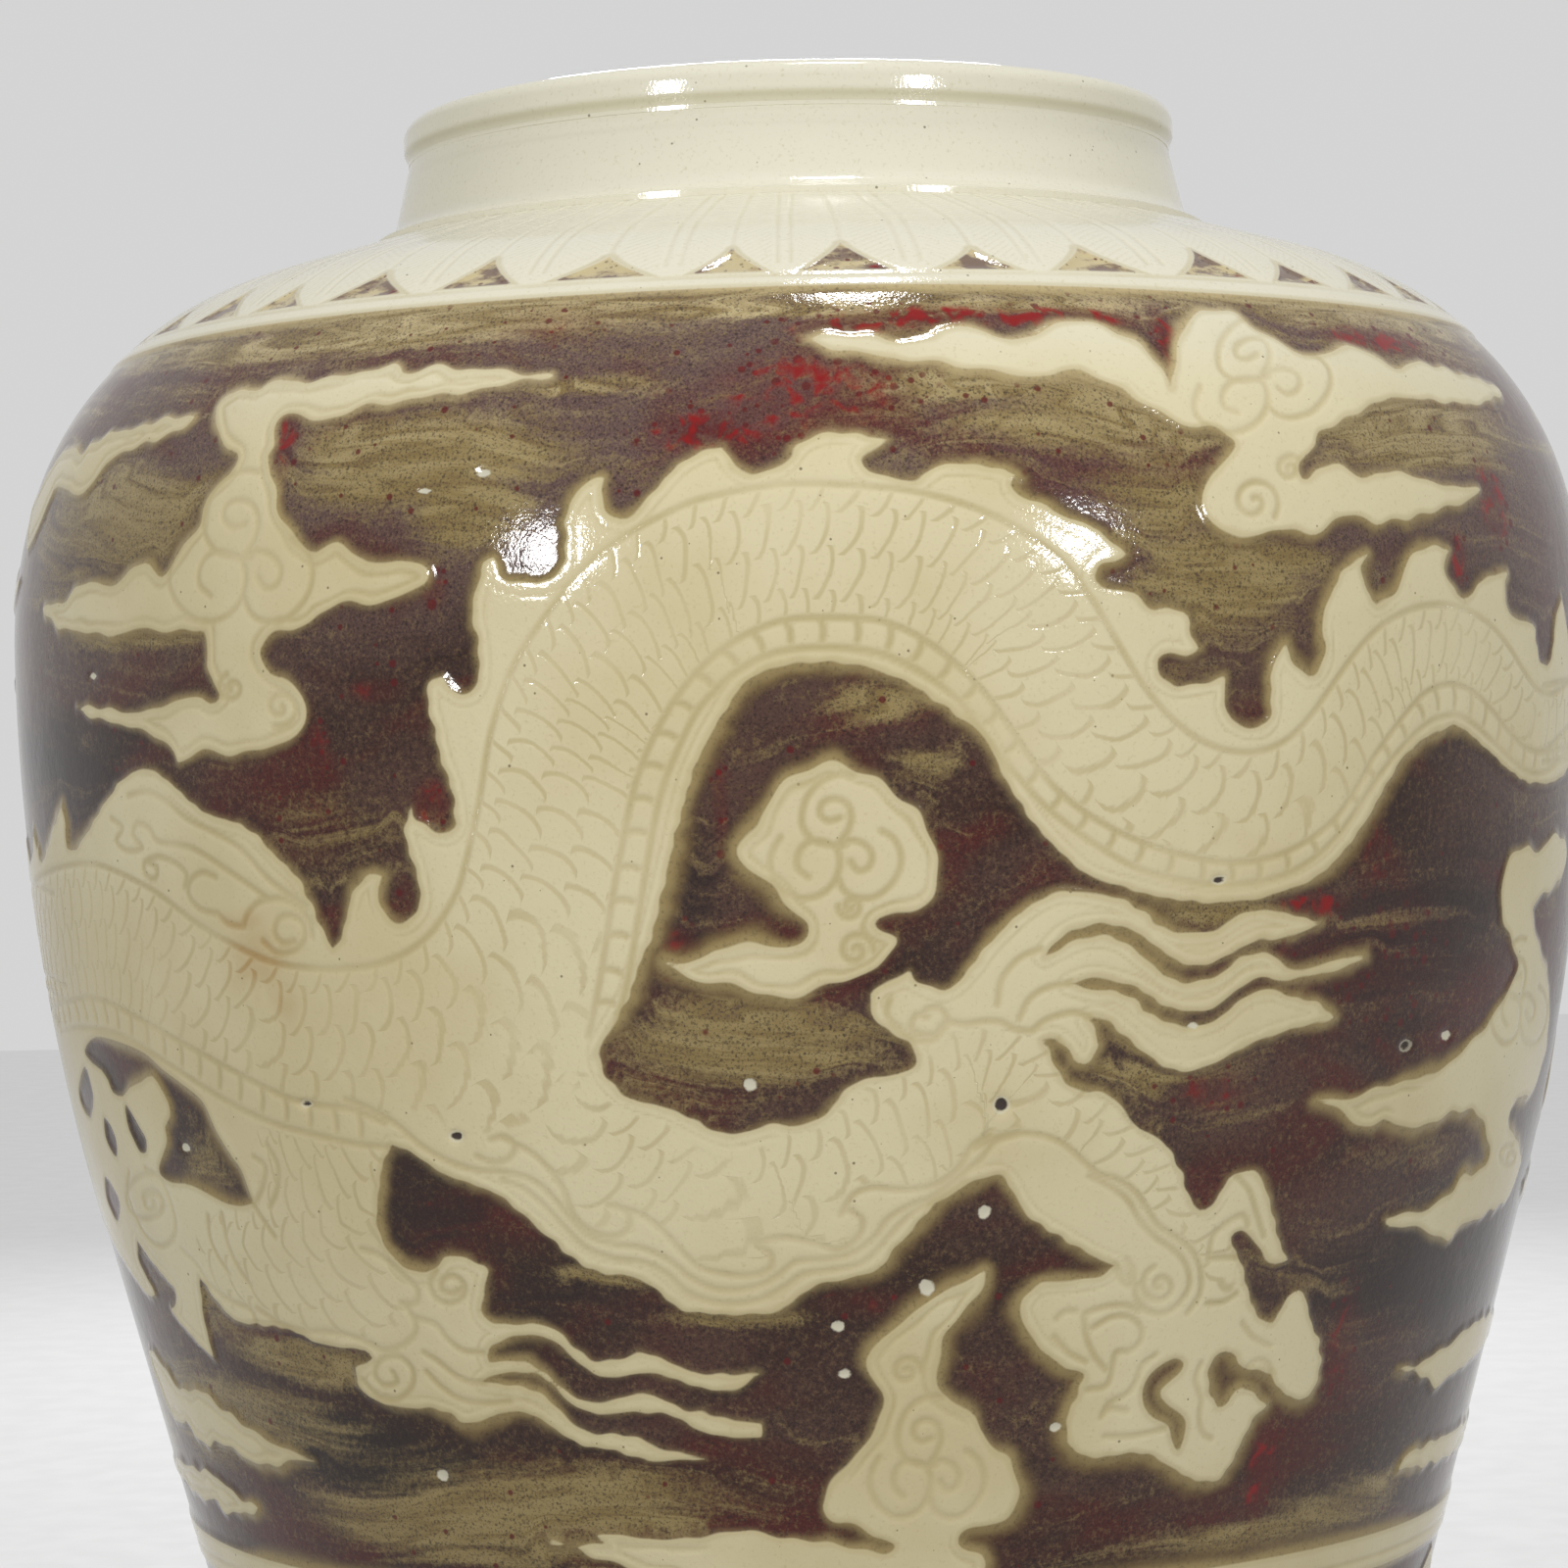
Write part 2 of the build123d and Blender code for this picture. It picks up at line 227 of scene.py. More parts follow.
class Surface:
    """A grid of angles round the jar and runs up its wall, with fields that the patterns are drawn in."""

    def __init__(self, low, high):
        rows = max(8, int((high - low) / ROW_STEP))
        self.runs = np.linspace(low, high, rows + 1)
        self.angles = round_angles(COLUMNS)
        self.radii, self.heights = outside_at(self.runs)
        self.shape = (len(self.runs), COLUMNS)

    def window(self, angle_low, angle_high, run_low, run_high):
        """Row and column numbers of a patch, with each column's angle unwrapped."""
        j0, j1 = np.searchsorted(self.runs, (run_low, run_high))
        step = 2 * math.pi / COLUMNS
        i0 = math.floor((angle_low + math.pi) / step)
        i1 = math.ceil((angle_high + math.pi) / step) + 1
        if i1 - i0 > COLUMNS:
            i1 = i0 + COLUMNS
        columns = np.arange(i0, i1)
        return slice(j0, j1), columns % COLUMNS, columns * step - math.pi

    def patches(self, curve, reach, closed):
        """Each short stretch of a curve with the patch of the grid that it can reach."""
        starts = curve if closed else curve[:-1]
        ends = np.roll(curve, -1, axis=0) if closed else curve[1:]
        for k, (a, b) in enumerate(zip(starts, ends)):
            low, high = min(a[1], b[1]) - reach, max(a[1], b[1]) + reach
            if high < self.runs[0] or low > self.runs[-1]:
                continue
            turn = reach / LEAST_RADIUS
            rows, columns, angles = self.window(min(a[0], b[0]) - turn, max(a[0], b[0]) + turn, low, high)
            if rows.start >= rows.stop:
                continue
            radii = self.radii[rows, None]
            across = radii * (angles[None, :] - a[0])
            up = self.runs[rows, None] - a[1]
            along = radii * (b[0] - a[0])
            rise = b[1] - a[1]
            share = np.clip((across * along + up * rise) / np.maximum(along**2 + rise**2, TINY**2), 0, 1)
            distance = np.hypot(across - share * along, up - share * rise)
            side = np.sign(along * up - rise * across)
            yield k, rows, columns, share, distance, side

    def nearest(self, curve, reach, closed=False):
        """Distance to a curve, and for each point the run along the curve and the side it is on."""
        distance = np.full(self.shape, float(reach))
        place = np.zeros(self.shape)
        sides = np.zeros(self.shape)
        middle = outside_at(curve[:, 1])[0]
        steps = np.hypot(np.diff(curve[:, 0]) * (middle[:-1] + middle[1:]) / 2, np.diff(curve[:, 1]))
        lengths = np.concatenate(([0.0], np.cumsum(steps), [0.0]))
        for k, rows, columns, share, gap, side in self.patches(curve, reach, closed):
            patch = np.ix_(range(rows.start, rows.stop), columns)
            closer = gap < distance[patch]
            distance[patch] = np.where(closer, gap, distance[patch])
            step = lengths[k + 1] - lengths[k]
            place[patch] = np.where(closer, lengths[k] + share * step, place[patch])
            sides[patch] = np.where(closer, side, sides[patch])
        return distance, place, sides

    def lines(self, curves):
        """Distance to the nearest of some open curves."""
        distance = np.full(self.shape, LINE_REACH)
        for curve in curves:
            for _, rows, columns, _, gap, _ in self.patches(curve, LINE_REACH, False):
                patch = np.ix_(range(rows.start, rows.stop), columns)
                distance[patch] = np.minimum(distance[patch], gap)
        return distance

    def inside(self, curve):
        """True where a closed curve holds the grid's point."""
        flips = np.zeros((self.shape[0], 3 * COLUMNS + 1), dtype=np.int32)
        step = 2 * math.pi / COLUMNS
        for a, b in zip(curve, np.roll(curve, -1, axis=0)):
            low, high = min(a[1], b[1]), max(a[1], b[1])
            j0, j1 = np.searchsorted(self.runs, (low, high))
            if j1 <= j0:
                continue
            rows = np.arange(j0, j1)
            cross = a[0] + (self.runs[rows] - a[1]) / (b[1] - a[1]) * (b[0] - a[0])
            place = np.ceil((cross + math.pi) / step).astype(int) + COLUMNS
            np.add.at(flips, (rows, np.clip(place, 0, 3 * COLUMNS)), 1)
        held = np.cumsum(flips, axis=1)[:, :-1] % 2 == 1
        return held[:, :COLUMNS] | held[:, COLUMNS : 2 * COLUMNS] | held[:, 2 * COLUMNS :]

    def signed(self, curve):
        """Distance to a closed curve, above zero inside it."""
        distance, _, _ = self.nearest(curve, REACH, closed=True)
        return np.where(self.inside(curve), distance, -distance)

    def touches(self, curve):
        """True where a curve comes near enough to this band of the wall to matter."""
        return curve[:, 1].max() + REACH > self.runs[0] and curve[:, 1].min() - REACH < self.runs[-1]


# Shapes left in the cream glaze, as outlines in pixels of the photograph.
# A point written twice is a sharp corner.
DRAGON_FRONT = [
    (26, 905), (33, 872), (33, 848), (33, 848), (42, 880), (54, 845), (62, 823), (62, 823), (66, 840),
    (68, 866), (77, 867), (114, 808), (129, 792), (146, 786), (161, 789), (208, 829), (247, 842), (259, 850),
    (281, 874), (305, 898), (322, 934), (339, 969), (339, 969), (348, 957), (359, 911), (367, 899),
    (378, 893), (391, 893), (391, 893), (386, 905), (387, 920), (393, 934), (403, 942), (415, 940),
    (425, 930), (429, 915), (423, 885), (413, 854), (413, 840), (419, 825), (419, 825), (425, 836),
    (448, 850), (459, 849), (465, 840), (461, 806), (450, 775), (442, 740), (437, 722), (437, 697),
    (451, 692), (451, 692), (459, 702), (470, 708), (481, 706), (488, 695), (488, 660), (482, 622),
    (489, 588), (494, 575), (503, 568), (503, 568), (513, 590), (545, 595), (560, 592), (572, 583),
    (577, 567), (577, 530), (581, 514), (590, 500), (602, 490), (615, 488), (615, 488), (615, 513),
    (621, 525), (633, 530), (646, 524), (690, 476), (716, 460), (737, 455), (737, 455), (748, 473),
    (757, 481), (772, 483), (799, 473), (817, 452), (848, 441), (888, 445), (907, 449), (907, 449),
    (897, 455), (884, 462), (879, 471), (886, 480), (932, 490), (953, 477), (967, 473), (1003, 475),
    (1037, 484), (1037, 484), (1032, 494), (1039, 505), (1067, 516), (1083, 525), (1118, 540), (1150, 566),
    (1150, 566), (1138, 573), (1124, 578), (1116, 588), (1124, 598), (1157, 606), (1166, 615), (1179, 622),
    (1195, 621), (1207, 625), (1214, 636), (1216, 650), (1225, 663), (1225, 663), (1212, 670), (1194, 665),
    (1184, 671), (1181, 682), (1186, 692), (1198, 699), (1213, 699), (1249, 692), (1249, 692), (1251, 705),
    (1250, 720), (1256, 733), (1270, 741), (1285, 742), (1295, 735), (1298, 718), (1297, 700), (1299, 682),
    (1304, 668), (1312, 658), (1312, 658), (1317, 671), (1335, 690), (1344, 686), (1351, 673), (1352, 655),
    (1350, 638), (1353, 620), (1368, 587), (1380, 574), (1396, 566), (1396, 566), (1390, 578), (1391, 593),
    (1398, 606), (1404, 617), (1426, 602), (1436, 574), (1446, 562), (1462, 557), (1479, 561), (1479, 561),
    (1474, 574), (1476, 589), (1494, 612), (1503, 606), (1508, 596), (1519, 589), (1539, 583), (1539, 583),
    (1536, 600), (1538, 620), (1547, 632), (1560, 635), (1567, 643), (1568, 658), (1573, 676), (1579, 679),
    (1584, 668), (1588, 630), (1594, 610), (1594, 610), (1606, 672), (1625, 700), (1625, 760), (1600, 785),
    (1588, 797), (1572, 800), (1556, 796), (1540, 785), (1497, 746), (1484, 741), (1455, 752), (1430, 776),
    (1388, 846), (1360, 881), (1325, 904), (1275, 918), (1215, 920), (1155, 908), (1110, 893), (1082, 869),
    (1053, 837), (1028, 798), (1008, 758), (996, 743), (922, 695), (878, 680), (830, 675), (787, 682),
    (756, 701), (733, 735), (712, 775), (697, 820), (666, 950), (653, 980), (640, 1020), (612, 1070),
    (612, 1083), (618, 1098), (629, 1111), (643, 1121), (680, 1131), (697, 1138), (735, 1156), (752, 1157),
    (787, 1147), (805, 1150), (825, 1146), (841, 1138), (864, 1112), (882, 1102), (920, 1095), (932, 1088),
    (936, 1077), (928, 1065), (897, 1045), (888, 1030), (890, 1014), (900, 1004), (915, 999), (928, 992),
    (928, 992), (936, 1001), (965, 1010), (988, 991), (1010, 962), (1040, 933), (1058, 920), (1078, 911),
    (1098, 909), (1148, 920), (1182, 943), (1200, 951), (1220, 953), (1240, 949), (1270, 931), (1288, 928),
    (1348, 941), (1348, 941), (1330, 951), (1308, 957), (1288, 958), (1268, 966), (1250, 977), (1230, 984),
    (1210, 983), (1193, 975), (1162, 952), (1145, 945), (1122, 943), (1100, 947), (1082, 957), (1066, 975),
    (1066, 975), (1105, 957), (1130, 956), (1148, 962), (1193, 997), (1213, 1003), (1233, 1000), (1250, 991),
    (1265, 979), (1282, 972), (1298, 973), (1310, 985), (1328, 990), (1372, 977), (1395, 976), (1395, 976),
    (1372, 987), (1328, 998), (1305, 1000), (1288, 998), (1272, 1003), (1247, 1023), (1230, 1030),
    (1210, 1032), (1190, 1027), (1156, 1007), (1115, 997), (1092, 1004), (1092, 1004), (1115, 1010),
    (1138, 1011), (1155, 1019), (1172, 1033), (1190, 1043), (1210, 1048), (1230, 1045), (1248, 1036),
    (1263, 1023), (1280, 1013), (1300, 1010), (1318, 1016), (1338, 1021), (1353, 1030), (1363, 1040),
    (1363, 1040), (1315, 1051), (1270, 1068), (1248, 1081), (1225, 1090), (1203, 1092), (1183, 1086),
    (1137, 1047), (1122, 1038), (1110, 1040), (1118, 1052), (1121, 1066), (1115, 1080), (1106, 1086),
    (1096, 1080), (1088, 1068), (1078, 1060), (1064, 1062), (1064, 1062), (1073, 1078), (1080, 1095),
    (1092, 1109), (1108, 1115), (1126, 1116), (1141, 1126), (1163, 1152), (1178, 1159), (1192, 1171),
    (1208, 1203), (1213, 1220), (1224, 1236), (1236, 1231), (1255, 1203), (1266, 1196), (1280, 1196),
    (1290, 1207), (1306, 1268), (1313, 1286), (1313, 1286), (1296, 1289), (1277, 1262), (1267, 1256),
    (1257, 1262), (1261, 1278), (1268, 1293), (1277, 1330), (1286, 1345), (1298, 1350), (1315, 1323),
    (1325, 1316), (1333, 1327), (1337, 1345), (1348, 1383), (1340, 1419), (1327, 1428), (1314, 1424),
    (1303, 1414), (1298, 1403), (1284, 1398), (1269, 1396), (1262, 1385), (1251, 1378), (1240, 1385),
    (1233, 1400), (1235, 1420), (1243, 1435), (1253, 1431), (1262, 1420), (1274, 1417), (1292, 1435),
    (1292, 1435), (1279, 1448), (1249, 1506), (1233, 1512), (1213, 1508), (1180, 1488), (1160, 1483),
    (1115, 1487), (1098, 1481), (1089, 1465), (1089, 1447), (1104, 1413), (1106, 1403), (1088, 1396),
    (1070, 1384), (1055, 1368), (1040, 1337), (1047, 1323), (1060, 1311), (1080, 1308), (1105, 1306),
    (1125, 1301), (1139, 1291), (1139, 1291), (1118, 1283), (1055, 1246), (1043, 1233), (1027, 1204),
    (1013, 1199), (975, 1216), (957, 1227), (928, 1259), (913, 1273), (902, 1290), (885, 1300), (835, 1311),
    (818, 1320), (805, 1332), (785, 1339), (755, 1342), (698, 1337), (662, 1310), (640, 1302), (612, 1298),
    (590, 1288), (517, 1226), (497, 1214), (450, 1197), (415, 1173), (400, 1170), (400, 1170), (391, 1187),
    (384, 1235), (386, 1256), (395, 1276), (410, 1291), (428, 1298), (443, 1295), (453, 1284), (470, 1282),
    (487, 1290), (498, 1297), (491, 1338), (502, 1350), (558, 1354), (593, 1381), (612, 1390), (632, 1387),
    (655, 1380), (697, 1397), (722, 1403), (775, 1402), (775, 1402), (760, 1413), (742, 1419), (718, 1417),
    (670, 1403), (648, 1402), (625, 1406), (605, 1401), (588, 1389), (572, 1374), (553, 1364), (530, 1362),
    (512, 1367), (499, 1376), (499, 1390), (540, 1391), (590, 1429), (612, 1431), (635, 1427), (657, 1422),
    (677, 1428), (697, 1439), (722, 1442), (748, 1450), (777, 1453), (777, 1453), (777, 1467), (777, 1467),
    (745, 1467), (718, 1461), (675, 1442), (622, 1443), (600, 1441), (583, 1432), (567, 1416), (550, 1403),
    (528, 1400), (505, 1403), (493, 1410), (493, 1410), (538, 1417), (556, 1425), (585, 1453), (603, 1462),
    (627, 1463), (650, 1467), (672, 1478), (719, 1489), (719, 1489), (660, 1490), (615, 1477), (593, 1475),
    (543, 1443), (522, 1440), (478, 1452), (458, 1443), (438, 1437), (415, 1437), (393, 1433), (375, 1424),
    (364, 1410), (364, 1398), (379, 1386), (379, 1386), (372, 1378), (348, 1375), (322, 1369), (298, 1358),
    (270, 1352), (247, 1350), (230, 1339), (203, 1303), (203, 1303), (207, 1342), (218, 1387), (218, 1387),
    (188, 1355), (174, 1335), (180, 1330), (178, 1316), (158, 1292), (140, 1267), (140, 1267), (141, 1285),
    (158, 1322), (150, 1322), (112, 1262), (86, 1190), (66, 1110), (62, 1080), (36, 1000), (28, 960),
]

# Places inside the dragon where the ground shows again
DRAGON_GAPS = [
    [
        (86, 1072), (98, 1058), (131, 1067), (150, 1077), (165, 1091), (181, 1103), (206, 1124), (219, 1152),
        (236, 1180), (246, 1194), (258, 1228), (258, 1228), (246, 1231), (230, 1228), (200, 1212),
        (188, 1208), (175, 1207), (164, 1200), (162, 1190), (170, 1165), (168, 1150), (173, 1140),
        (171, 1125), (155, 1098), (144, 1104), (132, 1110), (125, 1119), (115, 1115), (110, 1103),
        (103, 1092), (94, 1085),
    ],
    [(128, 1127), (142, 1150), (149, 1163), (149, 1176), (143, 1176), (136, 1163), (130, 1148)],
    [(106, 1140), (112, 1148), (118, 1163), (119, 1181), (112, 1172), (107, 1158)],
    [(107, 1200), (114, 1210), (122, 1228), (120, 1247), (113, 1235), (108, 1220)],
    [(86, 1088), (92, 1105), (95, 1122), (92, 1141), (84, 1130), (80, 1110)],
    [
        (1200, 1386), (1208, 1391), (1205, 1400), (1184, 1420), (1190, 1432), (1210, 1450), (1203, 1481),
        (1196, 1470), (1192, 1455), (1177, 1447), (1168, 1436), (1166, 1420), (1172, 1405), (1185, 1393),
    ],
]

CLOUDS_FRONT = [
    [
        (250, 395), (262, 399), (275, 392), (290, 388), (305, 388), (315, 392), (350, 382), (400, 374),
        (411, 379), (445, 374), (465, 377), (485, 376), (562, 383), (562, 383), (460, 402), (420, 406),
        (370, 416), (340, 426), (325, 428), (295, 421), (283, 430), (278, 455), (272, 465), (276, 476),
        (283, 518), (297, 542), (312, 561), (322, 564), (345, 554), (363, 568), (376, 575), (405, 572),
        (420, 575), (432, 580), (437, 588), (433, 597), (405, 610), (350, 617), (335, 622), (325, 628),
        (315, 637), (285, 643), (264, 662), (266, 675), (276, 685), (288, 690), (306, 709), (311, 722),
        (311, 738), (303, 748), (275, 762), (240, 770), (206, 765), (194, 771), (181, 778), (181, 778),
        (177, 768), (165, 755), (150, 746), (87, 729), (78, 721), (78, 721), (115, 724), (130, 727),
        (160, 723), (192, 711), (205, 712), (214, 718), (224, 712), (216, 690), (211, 680), (210, 650),
        (205, 641), (165, 645), (150, 641), (115, 648), (95, 645), (60, 640), (44, 621), (56, 617),
        (68, 611), (78, 600), (91, 594), (105, 597), (118, 595), (128, 588), (136, 578), (148, 576),
        (165, 588), (178, 570), (195, 546), (204, 535), (207, 520), (212, 505), (232, 485), (238, 475),
        (240, 465), (233, 455), (225, 447), (219, 420), (226, 409), (238, 401),
    ],
    [
        (197, 426), (197, 426), (184, 438), (113, 468), (93, 495), (80, 505), (59, 495), (52, 506),
        (28, 560), (30, 530), (38, 505), (58, 468), (68, 459), (76, 458), (84, 464), (91, 453), (103, 449),
        (112, 442), (136, 437), (170, 427),
    ],
    [
        (822, 346), (822, 346), (845, 340), (930, 348), (950, 345), (960, 338), (975, 334), (990, 334),
        (1003, 338), (1016, 345), (1030, 347), (1055, 342), (1065, 335), (1076, 330), (1105, 328),
        (1135, 337), (1161, 351), (1181, 371), (1194, 394), (1194, 394), (1200, 377), (1206, 340),
        (1223, 318), (1256, 318), (1281, 335), (1311, 353), (1326, 360), (1341, 364), (1354, 361),
        (1365, 355), (1376, 353), (1391, 357), (1419, 373), (1430, 376), (1440, 371), (1455, 370),
        (1519, 391), (1532, 400), (1522, 408), (1505, 412), (1486, 412), (1470, 408), (1455, 408),
        (1440, 405), (1401, 411), (1376, 427), (1347, 442), (1344, 455), (1332, 463), (1326, 475),
        (1328, 489), (1337, 491), (1343, 479), (1353, 474), (1366, 476), (1395, 487), (1425, 480),
        (1440, 484), (1455, 490), (1471, 493), (1490, 497), (1510, 499), (1500, 510), (1470, 519),
        (1440, 529), (1420, 530), (1405, 533), (1376, 526), (1350, 538), (1335, 543), (1300, 541),
        (1284, 546), (1246, 542), (1228, 516), (1228, 500), (1234, 486), (1244, 475), (1262, 455),
        (1259, 446), (1234, 436), (1215, 434), (1195, 427), (1175, 415), (1141, 395), (1110, 381),
        (1090, 379), (1070, 383), (1030, 380), (950, 368), (925, 367), (840, 353),
    ],
    [
        (850, 779), (866, 781), (897, 796), (928, 823), (950, 855), (958, 890), (952, 913), (930, 930),
        (897, 938), (893, 944), (899, 952), (913, 959), (913, 966), (895, 987), (865, 1000), (846, 1003),
        (815, 1016), (776, 1015), (750, 1004), (715, 1002), (700, 998), (681, 983), (681, 983), (716, 979),
        (730, 972), (765, 963), (803, 968), (816, 965), (824, 957), (824, 945), (812, 935), (795, 912),
        (772, 893), (753, 872), (762, 852), (773, 841), (800, 801), (835, 781),
    ],
    [
        (1004, 1298), (1004, 1298), (998, 1322), (980, 1345), (962, 1365), (955, 1410), (958, 1421),
        (970, 1430), (985, 1437), (995, 1446), (1000, 1458), (1020, 1482), (1030, 1491), (1040, 1522),
        (1028, 1550), (992, 1559), (982, 1566), (980, 1575), (988, 1582), (1001, 1589), (1004, 1603),
        (990, 1618), (965, 1627), (930, 1630), (890, 1628), (850, 1630), (800, 1624), (760, 1628),
        (680, 1611), (620, 1594), (592, 1583), (563, 1574), (563, 1574), (621, 1577), (611, 1568),
        (632, 1567), (655, 1570), (705, 1570), (745, 1563), (785, 1565), (801, 1570), (831, 1572),
        (850, 1575), (890, 1583), (906, 1584), (914, 1577), (883, 1562), (843, 1545), (838, 1536),
        (850, 1512), (860, 1497), (885, 1472), (900, 1435), (900, 1421), (885, 1400), (882, 1389),
        (888, 1377), (946, 1328), (985, 1308),
    ],
    [
        (1537, 885), (1545, 870), (1560, 865), (1571, 868), (1590, 851), (1599, 866), (1596, 890),
        (1585, 905), (1564, 925), (1569, 957), (1581, 1010), (1579, 1065), (1574, 1085), (1568, 1105),
        (1560, 1118), (1549, 1121), (1541, 1135), (1541, 1150), (1549, 1165), (1552, 1185), (1540, 1221),
        (1514, 1240), (1497, 1248), (1486, 1256), (1478, 1265), (1450, 1253), (1435, 1250), (1418, 1253),
        (1414, 1245), (1425, 1240), (1455, 1234), (1482, 1217), (1490, 1204), (1500, 1197), (1512, 1195),
        (1518, 1186), (1520, 1170), (1517, 1152), (1509, 1138), (1498, 1133), (1481, 1135), (1455, 1149),
        (1440, 1151), (1425, 1148), (1412, 1143), (1400, 1149), (1386, 1148), (1364, 1130), (1343, 1123),
        (1343, 1123), (1380, 1120), (1420, 1106), (1459, 1097), (1490, 1075), (1519, 1045), (1545, 1000),
        (1549, 985), (1545, 963), (1536, 945), (1532, 925), (1533, 905),
    ],
    [
        (1428, 1396), (1428, 1396), (1445, 1393), (1475, 1375), (1505, 1350), (1524, 1341), (1520, 1360),
        (1506, 1383), (1478, 1405), (1465, 1416), (1455, 1406),
    ],
    [
        (1429, 1498), (1429, 1498), (1438, 1483), (1475, 1465), (1499, 1450), (1492, 1470), (1480, 1484),
        (1465, 1492), (1448, 1496),
    ],
    [
        (152, 1378), (161, 1386), (184, 1419), (200, 1417), (236, 1445), (276, 1472), (296, 1481),
        (320, 1491), (320, 1491), (296, 1491), (275, 1495), (256, 1491), (225, 1472), (211, 1475),
        (200, 1465), (190, 1451), (178, 1449), (160, 1408),
    ],
    [
        (176, 1488), (195, 1497), (215, 1504), (246, 1530), (263, 1539), (263, 1539), (246, 1545),
        (230, 1543), (218, 1530), (204, 1528), (183, 1504),
    ],
]

# Incised lines, in pixels of the photograph
BACK_LINE = [
    (30, 905), (52, 889), (78, 882), (105, 884), (155, 908), (205, 945), (265, 977), (300, 986), (340, 989),
    (380, 985), (412, 973), (438, 953), (458, 925), (470, 898), (488, 820), (501, 745), (526, 675),
    (572, 608), (602, 575), (637, 547), (675, 526), (715, 509), (800, 494), (900, 497), (950, 505),
    (1000, 520), (1045, 543), (1085, 573), (1115, 612), (1165, 696), (1193, 730), (1220, 752), (1250, 765),
    (1283, 767), (1313, 755), (1338, 730), (1382, 668), (1408, 640), (1435, 624), (1462, 617), (1490, 620),
    (1518, 635), (1538, 657), (1568, 703), (1585, 708), (1618, 680),
]
BELLY_LINE = [
    (600, 1058), (612, 1000), (625, 915), (642, 825), (652, 788), (668, 750), (690, 712), (715, 682),
    (742, 659), (775, 641), (812, 631), (890, 632), (925, 643), (955, 661), (985, 686), (1012, 716),
    (1062, 787), (1090, 816), (1125, 840), (1162, 858), (1205, 872), (1250, 880), (1290, 877), (1328, 862),
    (1360, 838), (1384, 806), (1404, 770), (1450, 711), (1478, 698), (1502, 705), (1522, 724), (1540, 747),
    (1557, 763), (1577, 766), (1612, 728),
]
BELLY_EDGE = [
    (628, 1050), (643, 985), (673, 815), (706, 735), (728, 706), (752, 685), (782, 669), (815, 662),
    (855, 661), (895, 666), (930, 680), (960, 700), (984, 722), (1028, 780), (1080, 834), (1150, 881),
    (1198, 897), (1250, 903), (1298, 897), (1335, 880), (1365, 853), (1389, 820), (1412, 786), (1438, 755),
    (1462, 735), (1487, 730), (1508, 742), (1552, 784), (1574, 789), (1592, 775), (1610, 757),
]
LEFT_BELLY_LINE = [
    (52, 1030), (72, 1021), (92, 1018), (115, 1025), (225, 1086), (290, 1119), (325, 1128), (358, 1132),
    (392, 1146),
]
LEFT_BELLY_EDGE = [
    (62, 1052), (82, 1048), (125, 1057), (175, 1088), (225, 1120), (255, 1136), (290, 1150), (360, 1167),
    (398, 1171),
]
